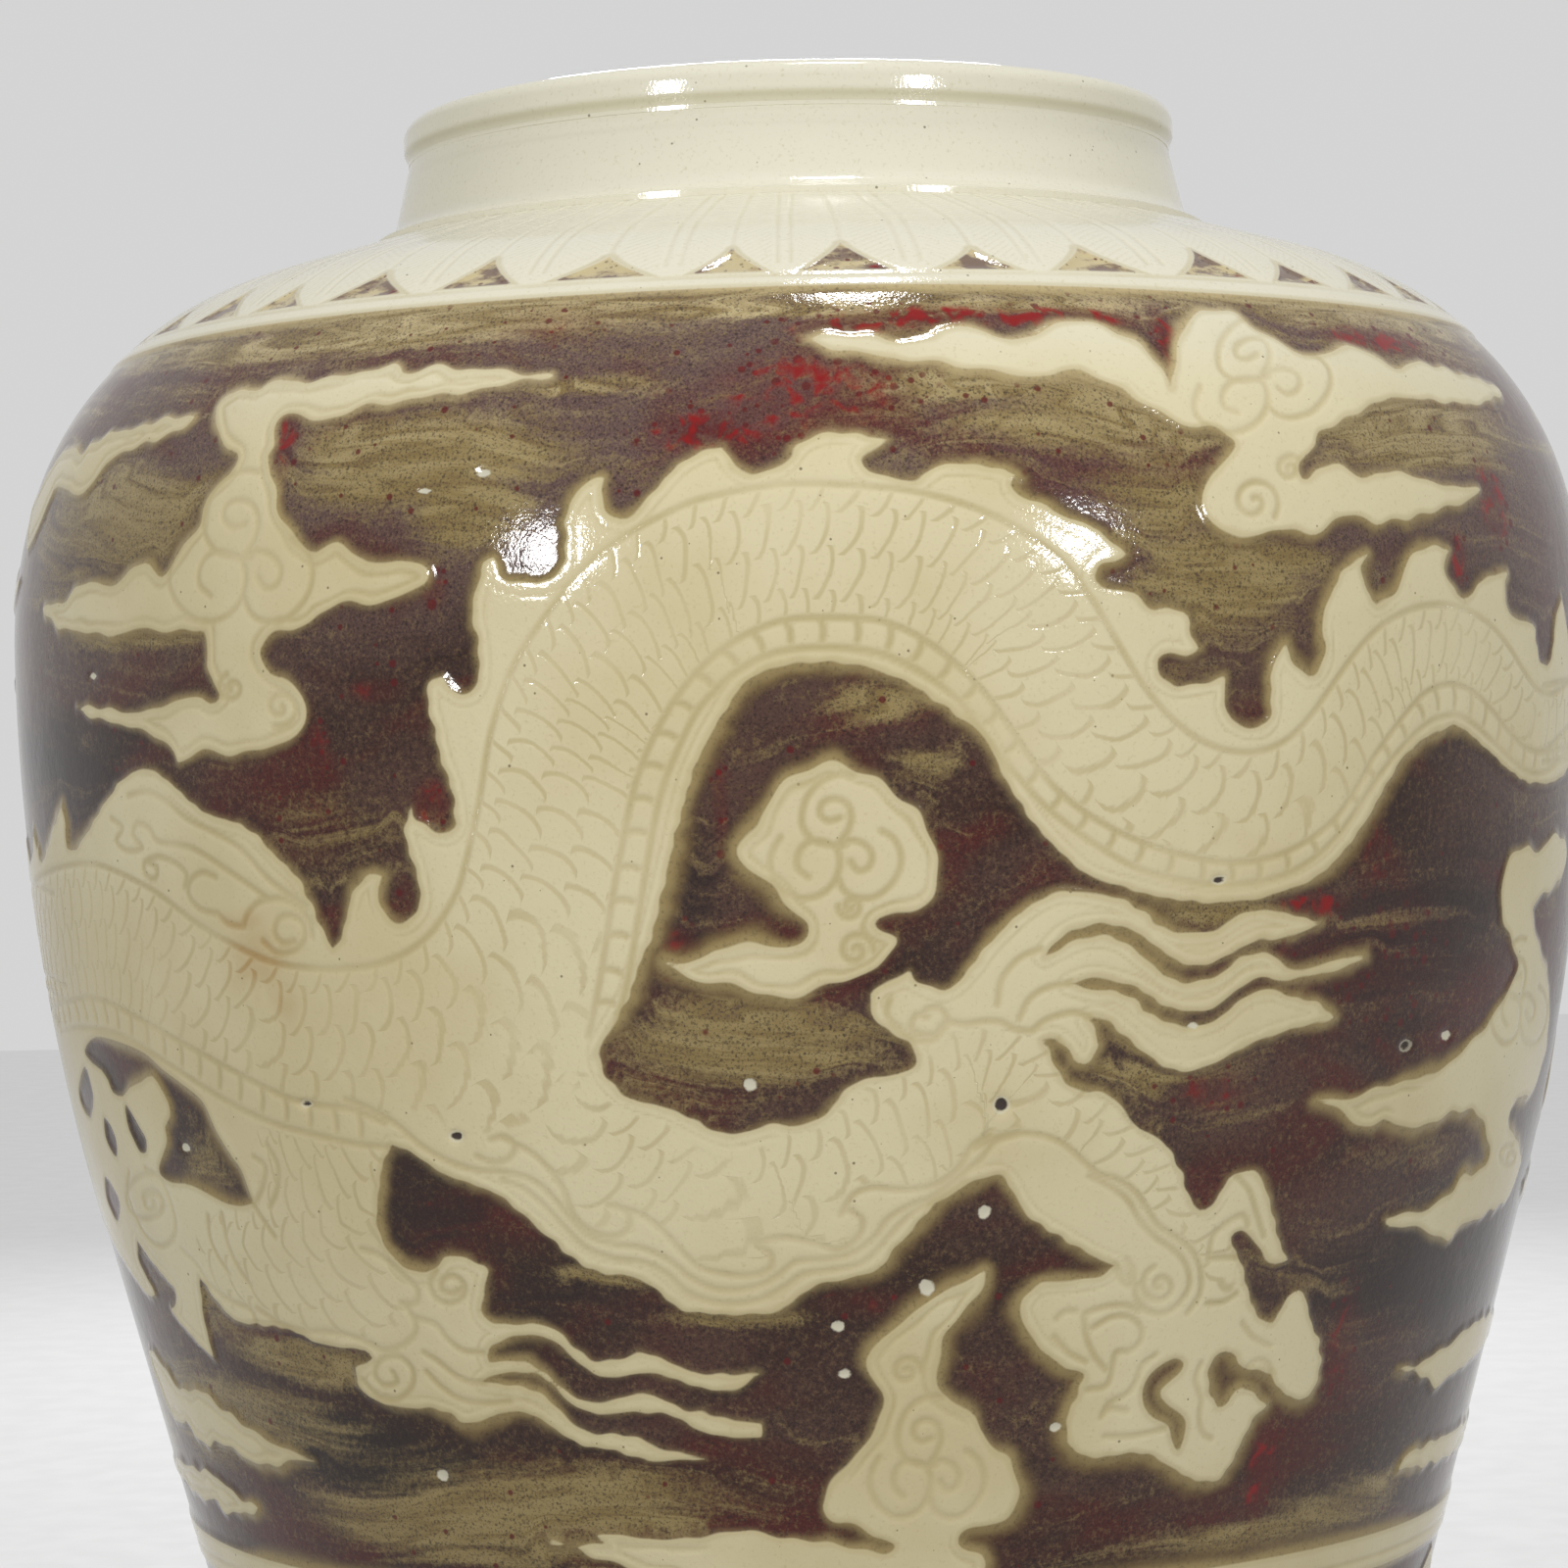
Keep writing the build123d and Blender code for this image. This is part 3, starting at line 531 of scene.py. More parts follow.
CUT_LINES = [
    # the two sides of the ribbon below the belly
    [
        (352, 1122), (380, 1133), (405, 1148), (428, 1168), (455, 1184), (485, 1194), (512, 1196),
        (540, 1203), (560, 1218), (598, 1260), (625, 1270), (655, 1274), (682, 1286), (705, 1304),
        (732, 1316), (765, 1315), (792, 1303), (812, 1288), (845, 1285), (872, 1278), (893, 1262),
        (905, 1245), (925, 1232), (950, 1222), (1000, 1184), (1015, 1165), (1040, 1157),
    ],
    [
        (512, 1204), (535, 1214), (556, 1232), (596, 1272), (625, 1284), (655, 1288), (680, 1300),
        (702, 1320), (735, 1330), (770, 1328), (798, 1315), (820, 1300), (850, 1296), (882, 1288),
        (918, 1250), (940, 1232), (962, 1222), (985, 1205),
    ],
    # curls along the belly
    [(500, 1163), (515, 1160), (525, 1170), (518, 1183), (502, 1186), (486, 1180)],
    [
        (515, 1163), (540, 1175), (560, 1193), (575, 1215), (585, 1240), (602, 1256), (625, 1262),
        (640, 1255), (641, 1240), (628, 1230),
    ],
    [
        (620, 1230), (650, 1238), (672, 1252), (712, 1292), (740, 1300), (765, 1302), (785, 1295),
        (786, 1280), (772, 1272),
    ],
    [(770, 1268), (800, 1263), (830, 1268), (855, 1275), (876, 1262), (880, 1245), (866, 1235)],
    [
        (858, 1240), (870, 1220), (890, 1212), (915, 1214), (940, 1213), (962, 1205), (980, 1190),
        (992, 1170), (1010, 1158),
    ],
    # the elbow's curl and the roots of the hair
    [(960, 1047), (955, 1060), (938, 1062), (920, 1052), (905, 1035), (908, 1020)],
    [
        (945, 1030), (958, 1028), (966, 1038), (962, 1052), (945, 1056), (930, 1050), (935, 1036),
        (947, 1038),
    ],
    [(966, 1042), (985, 1045), (1005, 1042), (1022, 1043), (1035, 1050), (1052, 1052)],
    [(1018, 1025), (1022, 1000), (1040, 978), (1062, 968)],
    [(1040, 1040), (1050, 1020), (1068, 1008), (1092, 1003)],
    [(1053, 1052), (1065, 1042), (1080, 1036), (1098, 1033), (1112, 1038)],
    # the upper side of the forearm, with its scales kept inside
    [(1080, 1062), (1090, 1080), (1106, 1092)],
    [
        (995, 1172), (1012, 1163), (1035, 1157), (1060, 1158), (1085, 1167), (1120, 1197), (1140, 1203),
        (1158, 1215), (1170, 1232), (1182, 1250), (1200, 1262), (1218, 1278), (1226, 1300), (1224, 1322),
        (1212, 1340),
    ],
    [
        (1112, 1200), (1135, 1212), (1152, 1226), (1163, 1245), (1178, 1262), (1197, 1275), (1210, 1290),
        (1214, 1310), (1205, 1328), (1190, 1340), (1172, 1338), (1160, 1325), (1158, 1310),
    ],
    # the wrist, palm and claws
    [(1152, 1300), (1160, 1312), (1168, 1305)],
    [(1138, 1290), (1143, 1303), (1152, 1312), (1158, 1300), (1150, 1285)],
    [(1108, 1340), (1130, 1333), (1150, 1332), (1163, 1337)],
    [
        (1115, 1355), (1135, 1344), (1153, 1344), (1165, 1356), (1163, 1370), (1152, 1379), (1139, 1380),
        (1130, 1413), (1110, 1418),
    ],
    [(1106, 1342), (1108, 1362), (1116, 1382), (1128, 1398)],
    [(1078, 1346), (1086, 1339), (1098, 1338)],
    [(1076, 1364), (1090, 1380), (1108, 1390)],
    [(1180, 1382), (1166, 1393), (1158, 1412), (1148, 1424), (1132, 1432), (1124, 1446)],
    [(1150, 1440), (1134, 1437), (1126, 1442)],
    [(1127, 1466), (1158, 1465), (1188, 1458)],
    [(1226, 1391), (1220, 1408), (1226, 1428), (1224, 1446), (1227, 1462), (1236, 1468)],
    [(1268, 1350), (1278, 1364), (1297, 1374)],
    [(1272, 1396), (1284, 1388), (1295, 1392), (1298, 1402)],
    [(1232, 1330), (1250, 1328), (1262, 1320)],
    [(1236, 1284), (1262, 1283)],
    [(1233, 1285), (1238, 1262), (1252, 1248), (1268, 1240), (1274, 1250)],
    [(1262, 1200), (1275, 1215), (1283, 1240), (1290, 1262)],
    # the left leg's hair, curls and claws
    [
        (470, 1315), (462, 1320), (450, 1316), (452, 1305), (463, 1302), (473, 1310), (472, 1323),
        (460, 1330), (445, 1325), (438, 1310), (445, 1297),
    ],
    [(368, 1275), (385, 1280), (398, 1290), (412, 1302), (425, 1315), (424, 1330), (408, 1330)],
    [(410, 1330), (420, 1342), (424, 1358), (412, 1372), (392, 1378), (378, 1370)],
    [
        (400, 1400), (405, 1410), (392, 1414), (382, 1402), (388, 1388), (405, 1384), (420, 1396),
        (420, 1415), (405, 1428), (385, 1424), (370, 1408),
    ],
    [(425, 1345), (445, 1352), (455, 1365), (472, 1378), (492, 1380)],
    [(432, 1380), (448, 1390), (462, 1402), (478, 1410), (494, 1411)],
    [(435, 1400), (450, 1415), (470, 1428), (495, 1432), (520, 1430)],
    [(200, 1122), (212, 1140), (230, 1180), (243, 1198), (252, 1215), (262, 1235), (280, 1262)],
    [(258, 1180), (270, 1190), (268, 1210), (262, 1225)],
    [(272, 1168), (283, 1190), (282, 1215), (275, 1232)],
    [(185, 1275), (200, 1290), (215, 1312), (232, 1326), (255, 1336), (262, 1350)],
    [(262, 1335), (285, 1350), (310, 1358), (340, 1360), (365, 1366), (385, 1376)],
    [
        (132, 1195), (130, 1215), (138, 1240), (150, 1262), (165, 1272), (178, 1262), (178, 1240),
        (165, 1205), (148, 1192),
    ],
    [(212, 1240), (214, 1262), (222, 1282), (234, 1300)],
    [(226, 1238), (232, 1268), (242, 1292), (256, 1312)],
    # the crest behind the left shoulder
    [
        (113, 835), (125, 845), (118, 858), (130, 868), (145, 865), (135, 852), (140, 840), (152, 845),
        (160, 858), (195, 865), (235, 890), (275, 918),
    ],
    [(130, 812), (150, 808), (170, 818), (190, 835), (240, 862), (275, 898), (312, 925)],
    [
        (150, 880), (160, 885), (158, 897), (148, 892), (147, 880), (160, 874), (178, 880), (190, 892),
        (188, 905),
    ],
    [(220, 895), (205, 890), (193, 900), (193, 915), (205, 928), (222, 932)],
    [(222, 932), (232, 942), (248, 945)],
    [(248, 945), (252, 932), (265, 920), (285, 917), (303, 925), (315, 940), (318, 955)],
    [
        (300, 960), (288, 962), (280, 952), (283, 938), (296, 934), (308, 942), (310, 958), (300, 970),
        (282, 972), (268, 960),
    ],
]

# The far side, which the photograph doesn't show. Places are degrees from the front and heights.
# The body's two ends: middle line as (degrees, height, half width)
NECK_PATH = [
    (-66, 301, 17), (-76, 304, 17.5), (-86, 300, 18), (-95, 291, 18), (-104, 287, 18), (-113, 294, 18),
    (-121, 312, 17.5), (-128, 335, 17), (-134, 357, 16), (-141, 376, 15), (-149, 387, 14), (-157, 385, 14),
]
TAIL_PATH = [
    (60, 355, 12), (68, 357, 13), (76, 352, 13), (84, 338, 13), (91, 318, 13), (98, 300, 12.5),
    (106, 289, 12), (115, 288, 11.5), (123, 298, 11), (130, 316, 10), (136, 335, 9), (143, 352, 8),
    (151, 360, 7), (159, 356, 5.5), (166, 345, 4), (172, 334, 2.5),
]
FIN_SPACING = 23.0
FIN_HEIGHT = 15.0
# The share of a fin's length at its tip, its forward lean, its notch, and the body's half width from
# which fins have their full height
FIN_PEAK = 0.8
FIN_LEAN = 0.45
FIN_DROP = 0.62
FULL_FIN_HALF = 9.0
# Steps between two points of a middle line, and the share of its half width that the plates take
PATH_STEPS = 12
BELLY_SHARE = 0.34

# The head in profile, facing away from the body, with its mane, horns, whisker and open mouth.
# These points are millimetres forward of the skull and above it.
HEAD = [
    (-16, 12), (-8, 17), (0, 21), (7, 24), (14, 23), (20, 19), (27, 16), (35, 15), (42, 17), (49, 21),
    (56, 20), (60, 14), (58, 8), (52, 5), (44, 3), (36, 1), (30, -2), (30, -2), (38, -3), (46, -3),
    (50, 0), (50, 0), (51, -7), (46, -13), (38, -17), (28, -20), (18, -20), (10, -17), (4, -20),
    (4, -20), (-2, -27), (-10, -31), (-22, -32), (-22, -32), (-14, -25), (-13, -20), (-13, -20),
    (-24, -23), (-36, -20), (-46, -12), (-46, -12), (-34, -13), (-24, -10), (-24, -10), (-34, -6),
    (-44, 2), (-52, 12), (-52, 12), (-40, 8), (-28, 8), (-28, 8), (-36, 16), (-46, 24), (-58, 29),
    (-58, 29), (-44, 30), (-30, 26), (-20, 20), (-20, 20), (-26, 30), (-36, 38), (-48, 43), (-48, 43),
    (-33, 43), (-19, 37), (-10, 27), (-10, 27), (-8, 22),
]
HEAD_LINES = [
    [(9, 13), (13, 16), (18, 15), (20, 11), (16, 8), (11, 9), (9, 13), (13, 16)],
    [(14, 11.6), (15.6, 12.6), (16.6, 11.4), (15, 10.6), (14, 11.6)],
    [(4, 18), (10, 20), (17, 18), (23, 14), (28, 12)],
    [(49, 15), (53, 16), (55, 13), (52, 10.5), (48, 12)],
    [(30, -1), (22, 0), (15, 3), (8, 2), (5, -4), (10, -8), (15, -5)],
    [(33, -5), (33, -9)], [(38, -5.5), (38, -10)], [(43, -5.5), (43, -9.5)],
    [(28, -14), (20, -14), (13, -11), (8, -13)],
    [(-2, 10), (-8, 4), (-10, -4), (-8, -13), (-3, -19)],
    [(-12, 10), (-24, 14), (-38, 24), (-50, 28)],
    [(-12, 22), (-22, 32), (-36, 40)],
    [(-14, 0), (-26, 0), (-38, 5), (-48, 11)],
    [(-14, -9), (-24, -14), (-38, -13)],
    [(-8, -18), (-12, -25), (-18, -30)],
    [(2, 6), (-2, 2), (-1, -4), (4, -5), (6, -1)],
]
WHISKER = [
    (54, 12), (62, 20), (72, 24), (82, 20), (90, 24), (99, 33), (99, 33), (93, 20), (84, 14), (74, 17),
    (65, 13), (58, 6),
]
PEARL_RADIUS = 14.0
PEARL_CORNERS = 12
PEARL_TURNS = [2 * math.pi * k / PEARL_CORNERS for k in range(PEARL_CORNERS)]
PEARL = [(PEARL_RADIUS * math.cos(turn), PEARL_RADIUS * math.sin(turn)) for turn in PEARL_TURNS]
PEARL_CURL = (0.0, 0.0, 0.65 * PEARL_RADIUS, 0.3)
PEARL_FLAMES = [
    [(-13, 2), (-22, 13), (-20, 25), (-29, 40), (-29, 40), (-11, 31), (-7, 20), (-3, 11)],
    [(-5, 11), (-6, 24), (1, 34), (-3, 50), (-3, 50), (11, 37), (10, 24), (6, 11)],
    [(5, 11), (13, 20), (23, 25), (30, 39), (30, 39), (33, 22), (24, 11), (13, 2)],
]
HEAD_SCALE = 1.35
HEAD_PLACE = (-159, 386)
PEARL_PLACE = (-203, 391)
TAIL_FLAME = [
    (-14, 3), (-6, 10), (-8, 22), (-2, 34), (-2, 34), (4, 24), (8, 14), (8, 14), (14, 26), (24, 34),
    (24, 34), (22, 20), (20, 9), (20, 9), (32, 16), (45, 16), (45, 16), (36, 6), (28, -1), (28, -1),
    (38, -5), (46, -13), (46, -13), (32, -12), (20, -9), (20, -9), (24, -19), (20, -30), (20, -30),
    (12, -20), (4, -11), (-6, -8), (-14, -3),
]
TAIL_FLAME_LINES = [
    [(-8, 2), (0, 8), (1, 18), (-1, 26)],
    [(0, 3), (10, 10), (16, 20), (20, 28)],
    [(2, 0), (16, 4), (28, 10), (38, 13)],
    [(2, -3), (16, -4), (28, -7), (38, -11)],
    [(-2, -5), (8, -10), (16, -18), (19, -25)],
]
TAIL_FLAME_PLACE = (174, 331)

# Shapes of the front that come again on the far side: first and last point in the dragon's outline,
# degrees turned, rise, and 1 or -1 where mirrored
LIMB_COPIES = [((928, 992), (1013, 1199), 88, 46, 1)]
LIMB_LINES = range(7, 33)
CLOUD_COPIES = [
    # which cloud, degrees turned, rise, 1 or -1 where mirrored
    (2, 82, 4, 1), (3, 141, 106, 1), (0, -64, 10, -1), (4, 125, 0, 1), (3, -100, -112, 1), (5, 95, -14, 1),
    (0, 236, -176, -1), (4, -110, 2, -1), (3, 84, -80, 1), (8, -74, 280, -1), (9, 250, 292, 1),
    (8, -40, -6, 1), (8, 214, 4, 1), (9, 150, 0, 1), (6, 60, 0, 1), (9, -46, 4, -1), (3, -134, -66, -1),
]
# The claws of the left foot, where the photograph's edge hides them
LEFT_CLAWS = [
    (-66, 262), (-70, 284), (-77, 288), (-85, 283), (-80, 277), (-82, 272), (-88, 268), (-92, 260),
    (-92, 260), (-86, 262), (-81, 260), (-81, 260), (-85, 252), (-91, 247), (-94, 240), (-94, 240),
    (-87, 241), (-81, 246), (-77, 248), (-77, 248), (-78, 236), (-83, 226), (-84, 216), (-84, 216),
    (-77, 222), (-72, 232), (-66, 240),
]
# Upright petals round the foot, with painted ground between their tips
FOOT_PETALS = 20
FOOT_PETAL_BASE = 30.0
FOOT_PETAL_TIP = 113.0
FOOT_PETAL_SHOULDER = 62.0
FOOT_PETAL_WIDTH_SHARE = 0.93
FOOT_PETAL_BOW = 0.62
FOOT_PETAL_POINT = 0.72
# How deep inside a petal its two outlines, its rib and its comb lines are cut
FOOT_PETAL_LINES = (3.6, 6.2)
FOOT_PETAL_SWAY = 0.04
FOOT_PETAL_RIB = 2.0
# Where the rib and the comb lines start: above the petal's base, and inside its outline
FOOT_RIB_START = (8, 7.5)
FOOT_COMB_START = 8.0
FOOT_COMB = 4.4
FOOT_GROUND_LOW = 34.0
FOOT_GROUND_HIGH = 117.0

# Stretches that carry scales: the curve that their rows follow, and the outline that holds them
BODY_SCALES = (
    BACK_LINE,
    BACK_LINE
    + BELLY_LINE[::-1]
    + [(585, 1075), (570, 1125), (535, 1158), (470, 1156), (430, 1140), (405, 1132)]
    + LEFT_BELLY_LINE[::-1],
)
ARM_SCALES = (
    [(600, 1085), (618, 1120), (660, 1146), (705, 1166), (745, 1182), (785, 1166), (830, 1156), (870, 1130),
     (905, 1104), (945, 1080), (985, 1056), (1030, 1056), (1072, 1074), (1096, 1108), (1135, 1126),
     (1170, 1158), (1202, 1196), (1222, 1240), (1245, 1262), (1256, 1300)],
    [(590, 1080), (612, 1112), (640, 1132), (690, 1148), (715, 1170), (745, 1181), (780, 1166), (805, 1155),
     (832, 1150), (855, 1130), (880, 1108), (915, 1098), (938, 1090), (955, 1062), (985, 1048), (1030, 1050),
     (1068, 1064), (1090, 1100), (1130, 1120), (1165, 1152), (1197, 1185), (1207, 1218), (1226, 1242),
     (1255, 1258), (1262, 1300), (1255, 1330), (1224, 1322), (1218, 1278), (1182, 1250), (1158, 1215),
     (1120, 1197), (1085, 1167), (1058, 1158), (1012, 1158), (980, 1190), (940, 1213), (890, 1212),
     (870, 1222), (880, 1250), (855, 1272), (800, 1262), (772, 1268), (786, 1285), (765, 1301), (712, 1292),
     (672, 1252), (650, 1238), (622, 1231), (640, 1250), (602, 1254), (575, 1215), (540, 1175), (515, 1161),
     (545, 1150), (580, 1115)],
)
LEG_SCALES = (
    [(428, 1172), (395, 1205), (362, 1238), (322, 1262), (280, 1272), (240, 1268), (205, 1255), (180, 1240)],
    [(262, 1150), (300, 1158), (350, 1166), (398, 1173), (388, 1200), (384, 1240), (392, 1272), (412, 1300),
     (424, 1325), (412, 1352), (378, 1368), (350, 1372), (300, 1355), (250, 1346), (226, 1326), (206, 1290),
     (200, 1255), (232, 1232), (262, 1232), (262, 1190)],
)
SCALE_STRETCHES = [BODY_SCALES, ARM_SCALES, LEG_SCALES]
SCALE_SHEAR = 0.3
SCALE_REACH = 62.0
SCALE_CALM = 4.0

# The head of a cloud: three curled lobes, in pixels about the place where they meet
TREFOIL = [
    [(0, -36), (-12, -32), (-22, -40), (-20, -54), (-6, -60), (8, -54), (13, -38), (9, -20), (0, -6)],
    [(6, -2), (-12, -2), (-30, -8), (-42, -28), (-38, -58), (-22, -80), (0, -90), (14, -88)],
    [(-35, 38), (-47, 26), (-46, 8), (-36, -5), (-20, -7), (-4, 2), (0, 22), (-7, 45), (-22, 60), (-45, 64),
     (-66, 50), (-77, 28), (-76, 8), (-66, -12)],
    [(12, 18), (20, 30), (32, 26), (36, 10), (26, -4), (10, -8), (0, -4)],
    [(-2, 38), (4, 54), (16, 63), (38, 63), (56, 48), (66, 30), (68, 10), (60, -10), (46, -20)],
]
CLOUD_HEADS = [
    # which cloud, the place in the photograph, share of full size across and up, degrees turned
    (0, 250, 570, 1.0, 1.0, 0), (3, 857, 864, 0.92, 0.82, 0), (2, 1290, 386, 0.98, 0.72, -14),
    (4, 950, 1497, 0.8, 0.8, 0), (5, 1552, 1020, 0.4, 0.7, 0),
]
# Single curls: which cloud or none, middle and outer radius in pixels, and where the spiral starts, in turns
SINGLE_CURLS = [
    (0, 285, 722, 20, 0.7), (0, 236, 702, 15, 0.1), (3, 873, 970, 19, 0.4), (3, 868, 925, 13, 0.9),
    (2, 1280, 512, 26, 0.5), (2, 1316, 478, 14, 0.3), (4, 925, 1400, 16, 0.4), (5, 1540, 1180, 12, 0.2),
    (None, 152, 1225, 28, 0.2), (None, 155, 1228, 14, 0.6), (None, 1184, 1312, 20, 0.1),
]
CLOUD_RIM = 2.7
FIN_RIM = 3.1
CURL_TURNS = 1.6
CURL_HEART = 0.12
CURL_POINTS = 26

# Painted patches of the ground: middle and half sizes in pixels, and strength
KHAKI_PATCHES = [
    (420, 470, 130, 45, 1.0), (480, 520, 60, 40, 1.0), (110, 540, 80, 60, 0.8), (140, 650, 70, 12, 0.8),
    (1150, 420, 140, 40, 0.7), (1180, 520, 60, 60, 0.6), (1245, 590, 75, 45, 1.0),
    (1290, 572, 70, 18, 1.0), (1430, 440, 100, 30, 0.9), (760, 1062, 125, 48, 1.0),
    (900, 715, 60, 20, 0.7), (940, 790, 40, 30, 0.5), (1150, 1090, 50, 40, 0.6),
    (1250, 930, 60, 15, 0.8), (330, 850, 80, 50, 0.35), (560, 1530, 210, 42, 0.9),
    (230, 1440, 70, 40, 0.7), (450, 1562, 160, 30, 0.9), (1380, 1532, 60, 25, 0.7),
    (1300, 1566, 120, 15, 0.8), (1450, 1170, 60, 25, 0.5), (640, 1300, 90, 14, 0.9),
    (760, 1345, 80, 12, 0.8), (1180, 1240, 60, 20, 0.5), (170, 1070, 60, 30, 0.7),
    (210, 1180, 30, 50, 0.6), (960, 610, 40, 10, 0.4), (1010, 388, 95, 17, 1.0),
    (900, 312, 200, 7, 0.9), (300, 352, 90, 12, 0.9), (610, 392, 70, 10, 0.7), (330, 1392, 90, 26, 0.9),
    (235, 1335, 50, 26, 0.7),
]
# Darker patches of the ground: partly thicker paint, and painted shade at the sides and low down, where the
# jar turns from the light
DARK_PAINT_AND_SHADE_PATCHES = [
    (450, 1240, 70, 40, 0.8), (600, 1330, 120, 30, 0.6), (700, 900, 40, 80, 0.8),
    (1450, 1300, 90, 60, 0.9), (350, 1480, 110, 42, 1.1), (60, 780, 50, 60, 1.0),
    (1460, 950, 90, 80, 0.8), (120, 1320, 60, 60, 0.6), (1560, 1250, 60, 90, 0.8),
]
RED_PATCHES = [
    (720, 440, 62, 24, 1.0), (820, 400, 120, 52, 0.75), (860, 333, 60, 14, 1.0),
    (960, 322, 120, 13, 1.0), (1090, 322, 70, 12, 1.0), (1195, 350, 14, 42, 1.0),
    (290, 450, 12, 60, 0.75), (560, 330, 60, 22, 0.5), (380, 705, 36, 16, 0.6), (325, 760, 14, 32, 0.6),
    (440, 600, 16, 26, 0.7), (1340, 925, 42, 16, 0.8), (1310, 970, 16, 12, 0.6),
    (1525, 510, 16, 44, 0.9), (1490, 570, 10, 32, 0.8), (1240, 1115, 44, 26, 0.6),
    (1370, 1370, 18, 62, 0.6), (1288, 1500, 15, 52, 0.9), (1405, 345, 50, 14, 0.9),
    (1400, 860, 18, 62, 0.6), (690, 970, 26, 26, 0.8), (735, 820, 10, 62, 0.6), (440, 820, 22, 28, 0.8),
    (1430, 1000, 70, 90, 0.3), (60, 420, 40, 60, 0.4), (880, 1330, 60, 20, 0.5),
]
STAINS = [(262, 985, 30, 40, 1.0), (245, 940, 22, 12, 1.0), (290, 1010, 14, 34, 0.8)]
# Where patches are set again beside the front: between which angles they fade in and out,
# and how steeply every patch falls off from its middle
BESIDE_START = (1.15, 1.4)
BESIDE_END = (1.8, 2.0)
PATCH_FALL = 0.8

# Small flaws in the glaze: middle and radius in pixels. Pits show white, chips show dark clay.
PITS = [
    (765, 1108, 8), (1005, 1238, 8), (946, 1315, 10), (855, 1355, 7), (862, 1403, 6), (1078, 1458, 6),
    (450, 1507, 7), (492, 482, 5), (432, 500, 4), (187, 1172, 5), (1218, 1047, 4), (1478, 1057, 6),
    (92, 690, 4),
]
CHIPS = [(1022, 1128, 9), (465, 1160, 6), (1245, 898, 5), (312, 1127, 4), (1437, 1068, 6), (1001, 167, 2)]

# Round the shoulder: pointed petals with painted triangles between their tips
PETALS = 37
PETAL_TURN = 0.55
PETAL_SHARE = 0.72
PETAL_FOOT = 476.9
PETAL_TIP_RISE = 14.2
PETAL_RIB = 2.0
PETAL_EDGE = 1.6
PETAL_COMB = 2.6
PETAL_SLANT = 0.9
# The petals were spaced with sways: how far each sway goes, how many times round, and where it starts
PETAL_SWAYS = ((0.06, 7, 0.0), (0.05, 17, 1.0))
PETAL_UNEVEN = 0.15
PETAL_BEAT = 2.1
RED_CORNER = 2.8
RED_PLACE = (0.62, 2.4)
RED_BEAT = 1.7

# Heights at which the painted ground ends and a ruled line runs, at the shoulder and at the foot
SHOULDER_EDGE = 472.5
SHOULDER_LINE = 476.4
FOOT_EDGE = 127.5
FOOT_LINE = 121.0
EDGE_WAVE = 1.2

# Plates under the dragon's belly: how far apart, how far across and how bowed their edges are
BELLY_PLATE = 9.0
PLATE_SHARE = 0.7
PLATE_BULGE = 2.4
TICK_POINTS = 6

# Depths of the carving, and the hair's breadth by which the glaze stays inside the turned wall
CLEARANCE = 0.02
GROUND_DEPTH = 0.6
LINE_DEPTH = 0.26
COMB_DEPTH = 0.4 * LINE_DEPTH
SCALE_DEPTH = 0.1
PIT_DEPTH = 0.5
CHIP_DEPTH = 0.7
LINE_HALF = 0.85
# Between which distances from an edge or a line the carving goes down
GROUND_SLOPE = (-0.7, 2.4)
LINE_SLOPE = (0.2, LINE_HALF + 0.7)
COMB_SLOPE = (0.3, 0.9)
SHAPE_SLOPE = (-0.4, 0.6)
# How far the knife strayed along an edge, and over what length
CLOUD_RIPPLE = (0.55, 13.0)
DRAGON_RIPPLE = (0.3, 6.0)
# Waves in that ripple and in the softer unevenness, and the sum that the latter's waves seldom pass
RIPPLE_WAVES = 7
UNEVEN_WAVES = 5
UNEVEN_REACH = 2.3
# The scales: the width of two lanes, half a scale's width, its length, and how far its edge bulges
SCALE_LANE = 23.0
SCALE_HALF = 7.3
SCALE_LENGTH = 8.4
SCALE_BULGE = 3.4
# Added to the distance from the second outlines of the clouds and the fins, which makes their cuts finer
CLOUD_NOTCH = 0.25
FIN_NOTCH = 0.75


def spiral(x, y, radius, start):
    """A curl about a middle, from a small radius out to the full one."""
    turns = np.linspace(CURL_HEART, 1.0, CURL_POINTS)
    angle = 2 * math.pi * (start + CURL_TURNS * turns)
    reach = radius * turns
    return np.column_stack((x + reach * np.cos(angle), y + reach * np.sin(angle)))


def cross_ticks(first, second, spacing):
    """Short curved lines between two lines, as the edges of the plates under the belly."""
    first, second = (np.asarray(line, float) for line in (first, second))
    lengths = lengths_along(first * (BELLY_RADIUS, 1.0))

    def point_at(place):
        return np.array([np.interp(place, lengths, first[:, k]) for k in range(2)])

    ticks = []
    for place in np.arange(spacing, lengths[-1] - spacing, spacing):
        start = point_at(place)
        gaps = np.hypot((second[:, 0] - start[0]) * BELLY_RADIUS, second[:, 1] - start[1])
        end = second[gaps.argmin()]
        if gaps.min() > 3 * spacing:
            continue  # the two lines part here
        bulge = (start + end) / 2 + point_at(place + PLATE_BULGE) - start
        share = np.linspace(0, PLATE_SHARE, TICK_POINTS)[:, None]
        ticks.append((1 - share) ** 2 * start + 2 * share * (1 - share) * bulge + share**2 * end)
    return ticks


